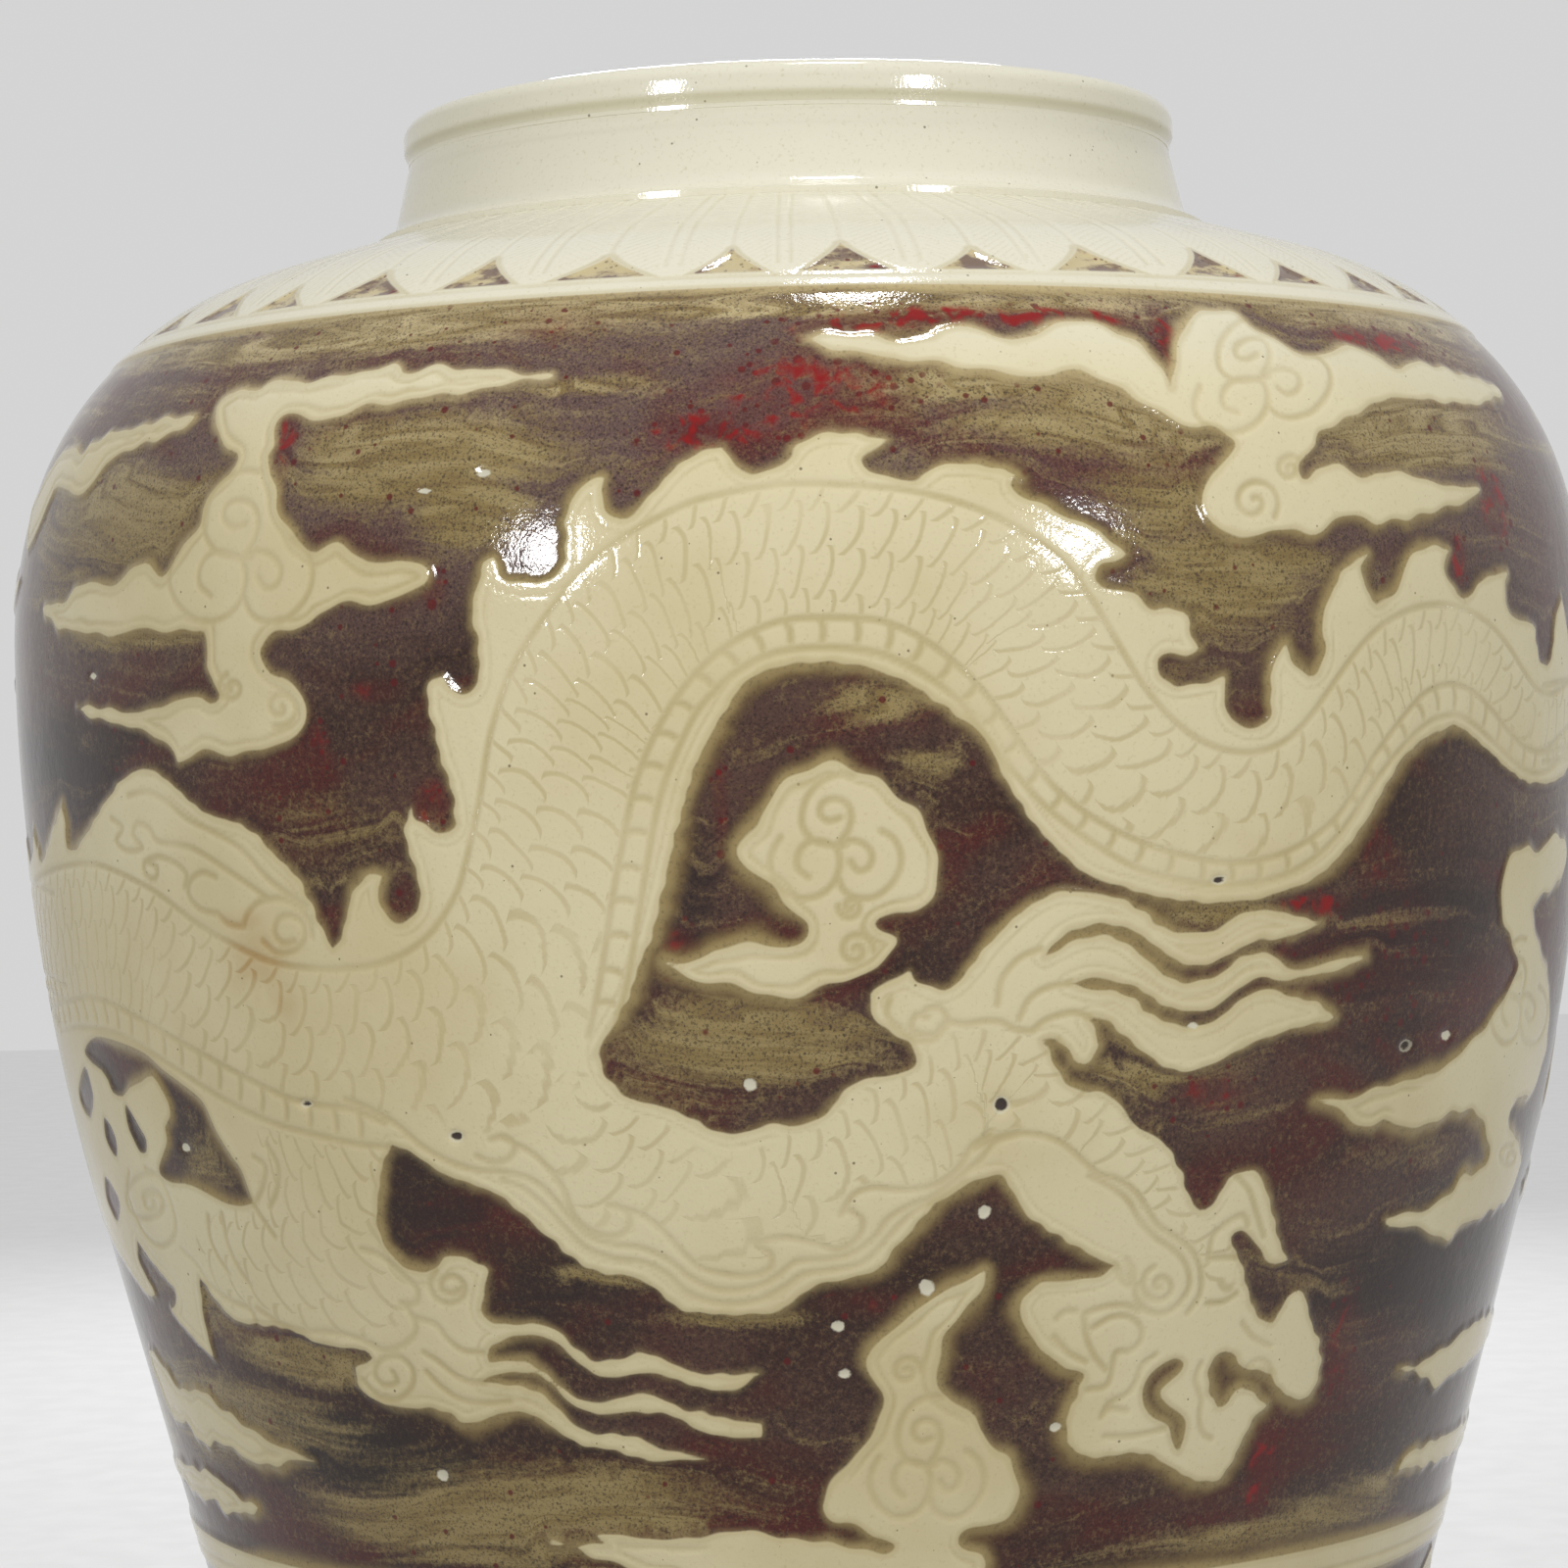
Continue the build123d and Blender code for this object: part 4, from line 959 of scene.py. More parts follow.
def cloud_lines(number):
    """The curls cut into one of the front's clouds, or into the dragon where the number is None."""
    curves = [spiral(*curl) for owner, *curl in SINGLE_CURLS if owner == number]
    for owner, x, y, across, up, degrees in CLOUD_HEADS:
        if owner != number:
            continue
        cosine, sine = math.cos(math.radians(degrees)), math.sin(math.radians(degrees))
        for curve in TREFOIL:
            right, down = (np.array(curve, float) * (across, up)).T
            turned = (x + right * cosine - down * sine, y + right * sine + down * cosine)
            curves.append(np.column_stack(turned))
    return [from_photo(curve, closed=False) for curve in curves]


SHAPES = [from_photo(DRAGON_FRONT)]
CLOUDS = [from_photo(points) for points in CLOUDS_FRONT]
GAPS = [from_photo(points) for points in DRAGON_GAPS]
FRONT_BACK_LINE = from_photo(BACK_LINE, closed=False)
PLATES = [
    (from_photo(BELLY_LINE, closed=False), from_photo(BELLY_EDGE, closed=False)),
    (from_photo(LEFT_BELLY_LINE, closed=False), from_photo(LEFT_BELLY_EDGE, closed=False)),
]
LINES = [FRONT_BACK_LINE]
LINES += [line for pair in PLATES for line in pair]
LINES += [tick for pair in PLATES for tick in cross_ticks(*pair, BELLY_PLATE)]
LINES += [from_photo(points, closed=False) for points in CUT_LINES]
LINES += [line for number in [None, *range(len(CLOUDS_FRONT))] for line in cloud_lines(number)]
STRETCHES = [(from_photo(spine, closed=False), from_photo(edge)) for spine, edge in SCALE_STRETCHES]


def moved(curve, turn, rise, mirror, middle=0.0):
    """A curve of the wall turned round the jar and raised, mirrored about its middle if asked."""
    angles = math.radians(turn) + middle + mirror * (curve[:, 0] - middle)
    return np.column_stack((angles, curve[:, 1] + rise))


def set_down(points, place, closed=True, scale=1.0):
    """A small drawing in millimetres, put on the wall. Forward is towards smaller angles."""
    points = curve_points(np.asarray(points, float) * scale, closed, SPLINE_STEP)
    run = run_at(place[1])
    radius = radius_at(place[1])
    return np.column_stack((math.radians(place[0]) - points[:, 0] / radius, run + points[:, 1]))


def smooth_path(path):
    """A body's middle line with its half widths, laid flat from left to right and rounded."""
    path = np.array(path, float)
    flat = np.column_stack((np.radians(path[:, 0]) * BELLY_RADIUS, run_at(path[:, 1]), path[:, 2]))
    if flat[-1, 0] < flat[0, 0]:
        flat = flat[::-1]
    spots = np.linspace(0, len(flat) - 1, PATH_STEPS * len(flat))
    line = np.column_stack([np.interp(spots, np.arange(len(flat)), flat[:, k]) for k in range(3)])
    kernel = np.hanning(PATH_STEPS + 1)
    kernel /= kernel.sum()
    ends = PATH_STEPS // 2
    padded = np.vstack((np.repeat(line[:1], ends, axis=0), line, np.repeat(line[-1:], ends, axis=0)))
    return np.column_stack([np.convolve(padded[:, k], kernel, "valid") for k in range(3)])


def fin_rise(share, size):
    """How high a fin stands and how far it leans, at a share of its length."""
    if share < FIN_PEAK:
        return size * share**2.2, FIN_LEAN * size * share**3
    return FIN_DROP * size * ((1 - share) / (1 - FIN_PEAK)) ** 0.7, 0.0


def body_shape(path):
    """Outline with fins, back line, belly lines and scale stretch of a body along a middle line."""
    line = smooth_path(path)
    ahead = np.gradient(line[:, :2], axis=0)
    ahead /= np.hypot(*ahead.T)[:, None]
    up = np.column_stack((-ahead[:, 1], ahead[:, 0]))
    half = line[:, 2:]
    middle = line[:, :2]
    lengths = lengths_along(middle)
    top = middle + up * (half + 2.0)
    back = middle + up * (half - 1.5)
    belly = middle - up * half * (1 - BELLY_SHARE)
    edge = middle - up * (half - 1.2)
    low = middle - up * (half + 1.0)
    outline = []
    for k in range(len(middle)):
        share = (lengths[k] / FIN_SPACING) % 1.0
        size = min(1.0, half[k, 0] / FULL_FIN_HALF) * FIN_HEIGHT
        lift, lean = fin_rise(share, size)
        outline.append(top[k] + up[k] * lift + lean * ahead[k])
    shape = np.vstack((outline, low[::-1]))

    def on_wall(points):
        return np.column_stack((points[:, 0] / BELLY_RADIUS, points[:, 1]))

    stretch = (on_wall(back), on_wall(np.vstack((back, belly[::-1]))))
    return on_wall(shape), [on_wall(back), on_wall(belly), on_wall(edge)], stretch


def outline_part(first, last):
    """The part of the front dragon's outline between two of its points."""
    start, end = DRAGON_FRONT.index(first), DRAGON_FRONT.index(last)
    return DRAGON_FRONT[start:end + 1]


def far_side():
    """Adds the shapes, lines and scales of the side away from the photograph."""
    for path in (NECK_PATH, TAIL_PATH):
        shape, lines, stretch = body_shape(path)
        SHAPES.append(shape)
        LINES.extend(lines)
        LINES.extend(cross_ticks(lines[1], lines[2], BELLY_PLATE))
        STRETCHES.append(stretch)
    SHAPES.append(set_down(HEAD, HEAD_PLACE, scale=HEAD_SCALE))
    SHAPES.append(from_wall(LEFT_CLAWS))
    SHAPES.append(set_down(WHISKER, HEAD_PLACE, scale=HEAD_SCALE))
    SHAPES.append(set_down(TAIL_FLAME, TAIL_FLAME_PLACE, scale=-1.0))
    LINES.extend(set_down(line, TAIL_FLAME_PLACE, False, -1.0) for line in TAIL_FLAME_LINES)
    LINES.extend(set_down(line, HEAD_PLACE, False, HEAD_SCALE) for line in HEAD_LINES)
    SHAPES.append(set_down(PEARL, PEARL_PLACE))
    SHAPES.extend(set_down(flame, PEARL_PLACE) for flame in PEARL_FLAMES)
    LINES.append(set_down(spiral(*PEARL_CURL), PEARL_PLACE, False))
    for first, last, turn, rise, mirror in LIMB_COPIES:
        limb = from_photo(outline_part(first, last))
        middle = limb[:, 0].mean()
        SHAPES.append(moved(limb, turn, rise, mirror, middle))
        for k in LIMB_LINES:
            LINES.append(moved(from_photo(CUT_LINES[k], closed=False), turn, rise, mirror, middle))
        spine, edge = (from_photo(ARM_SCALES[0], closed=False), from_photo(ARM_SCALES[1]))
        STRETCHES.append((moved(spine, turn, rise, mirror, middle), moved(edge, turn, rise, mirror, middle)))
    for number, turn, rise, mirror in CLOUD_COPIES:
        cloud = from_photo(CLOUDS_FRONT[number])
        middle = cloud[:, 0].mean()
        CLOUDS.append(moved(cloud, turn, rise, mirror, middle))
        LINES.extend(moved(line, turn, rise, mirror, middle) for line in cloud_lines(number))


far_side()


def foot_petal_fields(surface):
    """Reserve and lines of the upright petals round the foot."""
    step = 2 * math.pi / FOOT_PETALS
    place = surface.angles / step + FOOT_PETAL_SWAY * np.sin(5 * surface.angles)
    off = np.abs(place - np.round(place))[None, :] * step * surface.radii[:, None]
    full = FOOT_PETAL_WIDTH_SHARE * step * surface.radii[:, None] / 2
    high = surface.heights[:, None]
    share = np.clip((high - FOOT_PETAL_SHOULDER) / (FOOT_PETAL_TIP - FOOT_PETAL_SHOULDER), 0, 1)
    bowed = 1 - FOOT_PETAL_BOW * np.minimum(share, FOOT_PETAL_POINT) ** 2.4
    pointed = np.where(share < FOOT_PETAL_POINT, 1.0, ((1 - share) / (1 - FOOT_PETAL_POINT)) ** 0.8)
    half = full * bowed * pointed
    held = np.clip((half - off) * np.where(share > 0.3, 0.72, 1.0), -REACH, REACH)
    held = np.where(high > FOOT_PETAL_TIP, -np.hypot(off, high - FOOT_PETAL_TIP), held)
    ground = np.minimum(high - FOOT_GROUND_LOW, FOOT_GROUND_HIGH - high)
    reserve = np.maximum(held, -ground)
    inner, second = (np.abs(held - depth) for depth in FOOT_PETAL_LINES)
    ribbed = (high > FOOT_PETAL_BASE + FOOT_RIB_START[0]) & (held > FOOT_RIB_START[1])
    rib = np.where(ribbed, np.abs(off - FOOT_PETAL_RIB), LINE_REACH)
    comb = (high + 0.8 * off) / FOOT_COMB
    comb = np.abs(comb - np.round(comb)) * FOOT_COMB * 0.7 + 0.3
    comb = np.where((held > FOOT_COMB_START) & (off > 3.6), comb, LINE_REACH)
    line = np.minimum(np.minimum(inner, second), rib)
    low = high < FOOT_LINE
    petal = low & (high >= FOOT_PETAL_BASE)
    line = np.where(petal, line, LINE_REACH)
    comb = np.where(petal, comb, LINE_REACH)
    return np.where(low, reserve, REACH), line, comb


def patch_field(surface, patches, far_too=False):
    """Soft oval patches, given in pixels, as a field between 0 and 1. Some are set again all round."""
    field = np.zeros(surface.shape)
    turned = np.abs(surface.angles)[None, :]
    beside = smooth_step(turned, *BESIDE_START) * (1 - smooth_step(turned, *BESIDE_END))
    quarter = math.pi / 2
    sides = [(0.0, 1.0, 1.0)]
    if far_too:
        sides += [(math.pi, -1.0, 1.0), (quarter, 1.0, beside), (-quarter, -1.0, beside)]
    for x, y, wide, tall, strength in patches:
        points = seen_on_wall([(x, y), (x - wide, y), (x + wide, y), (x, y - tall), (x, y + tall)])
        across = max((points[2, 0] - points[1, 0]) / 2, 0.01)
        up = max(abs(points[3, 1] - points[4, 1]) / 2, 1.0)
        for start, way, share in sides:
            turn = (surface.angles[None, :] - start - way * points[0, 0] + math.pi) % (2 * math.pi) - math.pi
            far = (turn / across) ** 2 + ((surface.runs[:, None] - points[0, 1]) / up) ** 2
            field = np.maximum(field, share * strength * np.exp(-PATCH_FALL * far**1.5))
    return field


def scale_height(su, sv):
    """Height of the scales, 0 at a scale's root to 1 at its rounded edge."""
    rise = np.zeros_like(su)
    for parity in (0.0, 0.5):
        lane = sv - SCALE_LANE * parity
        share = (lane - SCALE_LANE * np.round(lane / SCALE_LANE)) / SCALE_HALF
        bow = SCALE_BULGE * np.sqrt(np.clip(1 - share**2, 0, 1))
        along = (su - SCALE_LENGTH * parity - bow) / SCALE_LENGTH
        rise = np.maximum(rise, (along - np.floor(along)) * np.clip(1.6 * (1 - share**2), 0, 1))
    return rise


def ripple(surface, size, seed):
    """A seeded unevenness about as wide as size, mostly between -1 and 1, closed round the jar."""
    rng = np.random.default_rng(seed)
    total = np.zeros(surface.shape)
    for _ in range(RIPPLE_WAVES):
        heading = rng.uniform(0, math.pi)
        length = size * rng.uniform(0.75, 1.4)
        turns = round(2 * math.pi * BELLY_RADIUS / length * math.cos(heading))
        rise = 2 * math.pi / length * math.sin(heading)
        phase = rng.uniform(0, 2 * math.pi)
        total += np.cos(turns * surface.angles[None, :] + rise * surface.runs[:, None] + phase)
    return total / math.sqrt(RIPPLE_WAVES)


def petal_fields(surface):
    """Lines and combing of the petals, how far inside a painted triangle a point lies, and its red corner."""
    step = 2 * math.pi / PETALS
    spacing = sum(far * np.sin(times * surface.angles + start) for far, times, start in PETAL_SWAYS)
    place = surface.angles / step + PETAL_TURN + spacing
    nearest = np.round(place)
    off = (place - nearest)[None, :] * step * surface.radii[:, None]
    half = step * surface.radii[:, None] / 2
    rise = (surface.runs - run_at(PETAL_FOOT))[:, None] + np.zeros_like(off)
    tip = PETAL_TIP_RISE * (1 + PETAL_UNEVEN * np.sin(nearest * PETAL_BEAT))[None, :]
    wide = half * PETAL_SHARE
    # the triangle's sides bow inwards, as the petals beside it are round
    side = wide * np.clip(1 - rise / tip, 0, 1) ** 1.4
    held = (side - np.abs(off)) * tip / np.hypot(tip, wide)
    triangle = np.where(rise < 0, -REACH, np.minimum(held, rise - 1.0))
    triangle = np.where(rise > tip, -np.hypot(off, rise - tip), triangle)
    # the petal's edge, its double rib, and slanting comb lines
    off_rib = np.abs(np.abs(place - np.floor(place) - 0.5)[None, :] * step * surface.radii[:, None])
    edge = np.abs(np.abs(off) - side - PETAL_EDGE) + np.where((rise < 0) | (rise > tip + 1.0), LINE_REACH, 0)
    rib = np.abs(off_rib - PETAL_RIB) + np.where(rise < PETAL_TIP_RISE * 0.35, LINE_REACH, 0)
    seam = np.abs(off) + np.where(rise < tip + 1.0, LINE_REACH, 0)
    comb = (rise + PETAL_SLANT * off_rib) / PETAL_COMB
    comb = np.abs(comb - np.round(comb)) * 2.0 + 0.35
    between = (off_rib > PETAL_RIB + 1.6) & (np.abs(off) > side + 2.4) & (rise > 3.0)
    comb = np.where(between, comb, LINE_REACH)
    line = np.minimum(np.minimum(edge, rib), seam) + 0.5
    # most triangles have a red corner low on one side
    corner = np.hypot((off - RED_PLACE[0] * wide) / RED_CORNER, (rise - RED_PLACE[1]) / (0.5 * RED_CORNER))
    corner = np.exp(-corner**2) * (0.7 + 0.4 * np.sin(nearest * RED_BEAT))[None, :]
    above = surface.heights[:, None] > SHOULDER_LINE
    return (
        np.where(above, line, LINE_REACH),
        np.where(above, comb, LINE_REACH),
        np.where(above, triangle, -REACH),
        np.where(above, corner, 0.0),
    )


def deepest(surface, shapes):
    """How deep each point lies inside the outline that holds it most."""
    depth = np.full(surface.shape, -REACH)
    for shape in shapes:
        if surface.touches(shape):
            depth = np.maximum(depth, surface.signed(shape))
    return depth


def beyond_pattern(surface):
    """How far a point lies above the painted ground or under it; the ground's edges sway a little."""
    wave = EDGE_WAVE * uneven(surface.angles, surface.heights, scale=400.0, seed=5)
    top = surface.runs[:, None] - run_at(SHOULDER_EDGE) + wave
    bottom = run_at(FOOT_EDGE) - surface.runs[:, None] + wave
    return np.clip(np.maximum(top, bottom), -REACH, REACH)


def scale_fields(surface):
    """Place along and across the rows of scales, and where there are scales at all."""
    su = np.zeros(surface.shape)
    sv = np.zeros(surface.shape)
    scaled = np.zeros(surface.shape)
    for spine, edge in STRETCHES:
        if not surface.touches(edge):
            continue
        distance, place, _ = surface.nearest(spine, SCALE_REACH)
        depth = surface.signed(edge)
        held = depth > 0.0
        shown = smooth_step(depth, 0.0, 1.6) * smooth_step(SCALE_REACH - distance, 0.5, 3.0)
        su = np.where(held, place + SCALE_SHEAR * distance, su)
        sv = np.where(held, distance, sv)
        scaled = np.where(held, shown, scaled * smooth_step(-depth, 0.9, 2.5))
    return su, sv, scaled


def fields(surface):
    """Everything that the glaze and the carving need to know at each point of a surface."""
    dragon = deepest(surface, SHAPES)
    cloud = deepest(surface, CLOUDS) + CLOUD_RIPPLE[0] * ripple(surface, CLOUD_RIPPLE[1], seed=21)
    reserve = dragon + DRAGON_RIPPLE[0] * ripple(surface, DRAGON_RIPPLE[1], seed=22)
    reserve = np.maximum(reserve, cloud)
    for gap in GAPS:
        if surface.touches(gap):
            reserve = np.minimum(reserve, -surface.signed(gap))
    reserve = np.maximum(reserve, beyond_pattern(surface))
    petal_line, comb, triangle, corner = petal_fields(surface)
    reserve = np.minimum(reserve, -triangle)
    foot_reserve, foot_line, foot_comb = foot_petal_fields(surface)
    reserve = np.minimum(reserve, foot_reserve)
    comb = np.minimum(comb, foot_comb)
    line = surface.lines([curve for curve in LINES if surface.touches(curve)])
    line = np.minimum(np.minimum(line, petal_line), foot_line)
    # a second outline inside the clouds, cut in broken stretches
    broken = LINE_REACH * smooth_step(uneven(surface.angles, surface.heights, scale=25.0, seed=9), 0.0, 0.25)
    line = np.minimum(line, np.abs(cloud - CLOUD_RIM) + CLOUD_NOTCH + broken)
    for height in (SHOULDER_LINE, FOOT_LINE):
        line = np.minimum(line, np.abs(surface.runs - run_at(height))[:, None] + 0.2)
    su, sv, scaled = scale_fields(surface)
    # each fin and tuft has a second outline inside it, which the scaled parts don't have
    leaf = np.abs(dragon - FIN_RIM) + FIN_NOTCH + 0.6 * broken + LINE_REACH * scaled
    line = np.minimum(line, leaf)
    return {
        "reserve": reserve,
        "line": np.minimum(line, LINE_REACH),
        "comb": comb,
        "su": su,
        "sv": sv,
        "scaled": scaled,
        "khaki": patch_field(surface, KHAKI_PATCHES, True),
        # the dark field: thicker paint, and painted shade at the sides and low down
        "dark": patch_field(surface, DARK_PAINT_AND_SHADE_PATCHES, True),
        "red": np.maximum(patch_field(surface, RED_PATCHES, True), corner),
        "stain": patch_field(surface, STAINS),
        "pit": patch_field(surface, [(x, y, r, r, 1.0) for x, y, r in PITS]),
        "chip": patch_field(surface, [(x, y, r, r, 1.0) for x, y, r in CHIPS]),
    }


def carved_depth(field, heights):
    """How far the finished surface lies inside the turned wall. The scales fade out at the joints."""
    ground = GROUND_DEPTH * smooth_step(-field["reserve"], *GROUND_SLOPE)
    cut = LINE_DEPTH * (1 - smooth_step(field["line"], *LINE_SLOPE))
    combed = COMB_DEPTH * (1 - smooth_step(field["comb"], *COMB_SLOPE))
    calm = np.ones(len(heights))
    for joint in (LOWER_JOINT, BELLY_JOINT):
        calm *= smooth_step(np.abs(heights - joint), 0.5 * SCALE_CALM, 2.0 * SCALE_CALM)
    scales = SCALE_DEPTH * calm[:, None] * field["scaled"] * (1 - scale_height(field["su"], field["sv"]))
    pits = PIT_DEPTH * field["pit"] + CHIP_DEPTH * field["chip"]
    shown = smooth_step(field["reserve"], *SHAPE_SLOPE)
    return CLEARANCE + ground + shown * (cut + combed + scales) + pits


def uneven(angles, heights, scale, seed):
    """A soft, seeded wobble between -1 and 1 that closes on itself round the jar."""
    rng = np.random.default_rng(seed)
    total = np.zeros((len(heights), len(angles)))
    for octave in range(1, UNEVEN_WAVES + 1):
        turns = rng.integers(1, 2 + octave * 3)
        rise = rng.uniform(0.3, 1.0) * octave / scale
        phase = rng.uniform(0, 2 * math.pi, 2)
        wave = np.cos(turns * angles[None, :] + phase[0] + np.sin(heights[:, None] * rise + phase[1]))
        total += wave / octave
    return total / UNEVEN_REACH


def smooth_step(value, low, high):
    """0 up to low, 1 from high on, with a soft start and end between them."""
    share = np.clip((value - low) / (high - low), 0, 1)
    return share * share * (3 - 2 * share)


def grid_faces(rows, columns, closed):
    """Corner numbers of the quads between neighbouring rows of a ring-shaped grid."""
    loops = rows if closed else rows - 1
    row = np.arange(loops)[:, None]
    column = np.arange(columns)[None, :]
    above = (row + 1) % rows
    beside = (column + 1) % columns
    corners = (
        row * columns + column,
        row * columns + beside,
        above * columns + beside,
        above * columns + column,
    )
    return np.stack([np.broadcast_to(corner, (loops, columns)) for corner in corners], axis=-1)


def mesh_object(name, points, quads, corner_uvs, fans=()):
    """A mesh from points, quads and triangle fans, with its bake layout."""
    mesh = bpy.data.meshes.new(name)
    flat = quads.reshape(-1, 4)
    fan_corners = np.array(fans, dtype=np.int32).reshape(-1, 3)
    corners = np.concatenate((flat.ravel(), fan_corners.ravel()))
    sizes = np.concatenate((np.full(len(flat), 4), np.full(len(fan_corners), 3)))
    starts = np.concatenate(([0], np.cumsum(sizes)[:-1]))
    mesh.vertices.add(len(points))
    mesh.vertices.foreach_set("co", (points * MM).astype(np.float32).ravel())
    mesh.loops.add(len(corners))
    mesh.loops.foreach_set("vertex_index", corners.astype(np.int32))
    mesh.polygons.add(len(sizes))
    mesh.polygons.foreach_set("loop_start", starts.astype(np.int32))
    mesh.update(calc_edges=True)
    mesh.validate()
    mesh.polygons.foreach_set("use_smooth", np.ones(len(mesh.polygons), dtype=bool))
    layout = mesh.uv_layers.new(name="OFBake")
    layout.data.foreach_set("uv", corner_uvs.astype(np.float32).ravel())
    mesh.set_sharp_from_angle(angle=SHARP_ANGLE)
    thing = bpy.data.objects.new(name, mesh)
    bpy.context.collection.objects.link(thing)
    return thing


def strip_uvs(loops, columns, low, high, panels):
    """Bake layout of a band of quads: the ring cut into panels, stacked between low and high."""
    width = columns // panels
    row = np.arange(loops)[:, None]
    column = np.arange(columns)[None, :]
    panel = column // width
    left = (column - panel * width) / width
    right = (column + 1 - panel * width) / width
    tall = (high - low) / panels
    gap = UV_MARGIN * tall
    base = low + panel * tall + gap
    rise = (tall - 2 * gap) / loops
    bottom = base + row * rise
    top = base + (row + 1) * rise
    left = UV_MARGIN + left * (1 - 2 * UV_MARGIN)
    right = UV_MARGIN + right * (1 - 2 * UV_MARGIN)
    corners = ((left, bottom), (right, bottom), (right, top), (left, top))
    parts = []
    for across, up in corners:
        shape = (loops, columns)
        parts.append(np.stack((np.broadcast_to(across, shape), np.broadcast_to(up, shape)), axis=-1))
    return np.stack(parts, axis=2)


def ring_points(radii, heights, angles):
    """Points of a ring-shaped grid from radii (rows, columns) and heights of the same shape."""
    x = radii * np.sin(angles)[None, :]
    y = -radii * np.cos(angles)[None, :]
    return np.stack((x, y, np.broadcast_to(heights, radii.shape)), axis=-1).reshape(-1, 3)


def ring_object(name, radii, heights, angles):
    """A closed ring of rows of points, with its bake layout in stacked panels."""
    rows, columns = radii.shape
    points = ring_points(radii, heights, angles)
    uvs = strip_uvs(rows, columns, 0.0, 1.0, OUTER_PANELS)
    return mesh_object(name, points, grid_faces(rows, columns, True), uvs)


def put_field(thing, name, values):
    """Stores one value for each point, which the glaze's material reads by name."""
    field = thing.data.attributes.new(name, "FLOAT", "POINT")
    field.data.foreach_set("value", np.asarray(values, dtype=np.float32).ravel())


def joint_rows(height, shift):
    """Rows of a luting joint's face, from the outside inwards."""
    edge = radius_at(height)
    rows = []
    for depth in JOINT_DEPTHS:
        rows.append((edge - depth, height + shift + depth * math.tan(JOINT_SLOPE)))
    return rows


def inner_rows(low_height, high_height):
    """Rows down the inside of the wall between two heights."""
    inside = INSIDE[(INSIDE[:, 1] > low_height + ROW_GAP) & (INSIDE[:, 1] < high_height - ROW_GAP)]
    return [tuple(point) for point in inside[::INNER_STEP][::-1]]


def inner_edge(height, shift):
    """Where a joint's face meets the inside of the wall."""
    edge = radius_at(height)
    depths = np.linspace(WALL - 3.0, WALL + 5.0, EDGE_STEPS)
    rise = height + shift + depths * math.tan(JOINT_SLOPE)
    inside = np.interp(rise, INSIDE[:, 1], INSIDE[:, 0])
    best = np.abs(edge - depths - inside).argmin()
    return edge - depths[best], rise[best]


SHARP_ANGLE = math.radians(38.0)
UV_MARGIN = 0.004
OUTER_PANELS = 3
OUTER_SHARE = 0.86
# How deep in a joint its rows lie, the bead's radius over it, and how far the bead is sunk in the wall
JOINT_DEPTHS = (2.6, 5.5)
BEAD = 3.2
BEAD_SINK = 0.4
BEAD_END = math.radians(86)
BEAD_POINTS = 9
SLIP_ROWS = 3
# Least distance between rows inside the wall, and the steps in which a joint's inner edge is looked for
ROW_GAP = 0.5
EDGE_STEPS = 200
# Rings left inside by throwing: how deep they are, and two lengths that set how far apart
RING_DEPTH = 0.35
RING_SPACING = (4.3, 11.0)
RING_WOBBLE = 0.25
# The carving fades out over these lengths of the wall, at the foot and under the neck
FOOT_FADE = 4.0
NECK_FADE = 5.0
NECK_LAP = 1.0
CLEAR_OF_PATTERN = {"reserve": REACH, "line": LINE_REACH, "comb": LINE_REACH}


def joint_outer(height, shift):
    """Radius and height where a joint's face meets the outside of the wall."""
    edge = radius_at(height)
    at = height + shift
    for _ in range(4):
        at = height + shift - (radius_at(at) - edge) * math.tan(JOINT_SLOPE)
    return radius_at(at), at


def carve_in(base, up, tilt, depth):
    """The outside of the wall moved in, square to itself, by the depth of the carving."""
    outward = np.sqrt(np.clip(1 - tilt**2, 0, 1))
    return base[:, None] - depth * outward[:, None], up[:, None] + depth * tilt[:, None]


def section_depth(surface, field, foot_end, neck_end):
    """Depth of a section's carving, which fades out where the foot or the neck is joined on."""
    depth = carved_depth(field, surface.heights)
    start, end = surface.runs[0], surface.runs[-1]
    if foot_end:
        depth = depth * smooth_step(surface.runs, start, start + FOOT_FADE)[:, None]
    if neck_end:
        depth = depth * (1 - smooth_step(surface.runs, end - NECK_FADE, end))[:, None]
    return depth


def top_rows(high, high_run):
    """Rows from a section's upper outside edge to its inside edge."""
    if high is not None:
        return joint_rows(high, 0.0) + [inner_edge(high, 0.0)]
    rows = [outside_at(run) for run in np.linspace(high_run, OUTSIDE_RUN[-1], 5)[1:]]
    inside_top = INSIDE[-1][1]
    return rows + [(MOUTH_RADIUS, (rows[-1][1] + inside_top) / 2), (MOUTH_RADIUS, inside_top)]


def bottom_rows(low):
    """Rows from a section's lower inside edge to its outside edge."""
    if low is not None:
        return [inner_edge(low, SLIP)] + joint_rows(low, SLIP)[::-1]
    height = FOOT_TOP + SLIP
    inside = np.interp(height, INSIDE[:, 1], INSIDE[:, 0])
    return [(inside, height), ((inside + radius_at(height)) / 2, height)]


def put_fields(thing, field, rows):
    """The fields on a piece whose carved rows come first. Its other rows lie clear of the patterns."""
    for key, values in field.items():
        whole = np.full((rows, COLUMNS), CLEAR_OF_PATTERN.get(key, 0.0))
        whole[: len(values)] = values
        put_field(thing, key, whole)


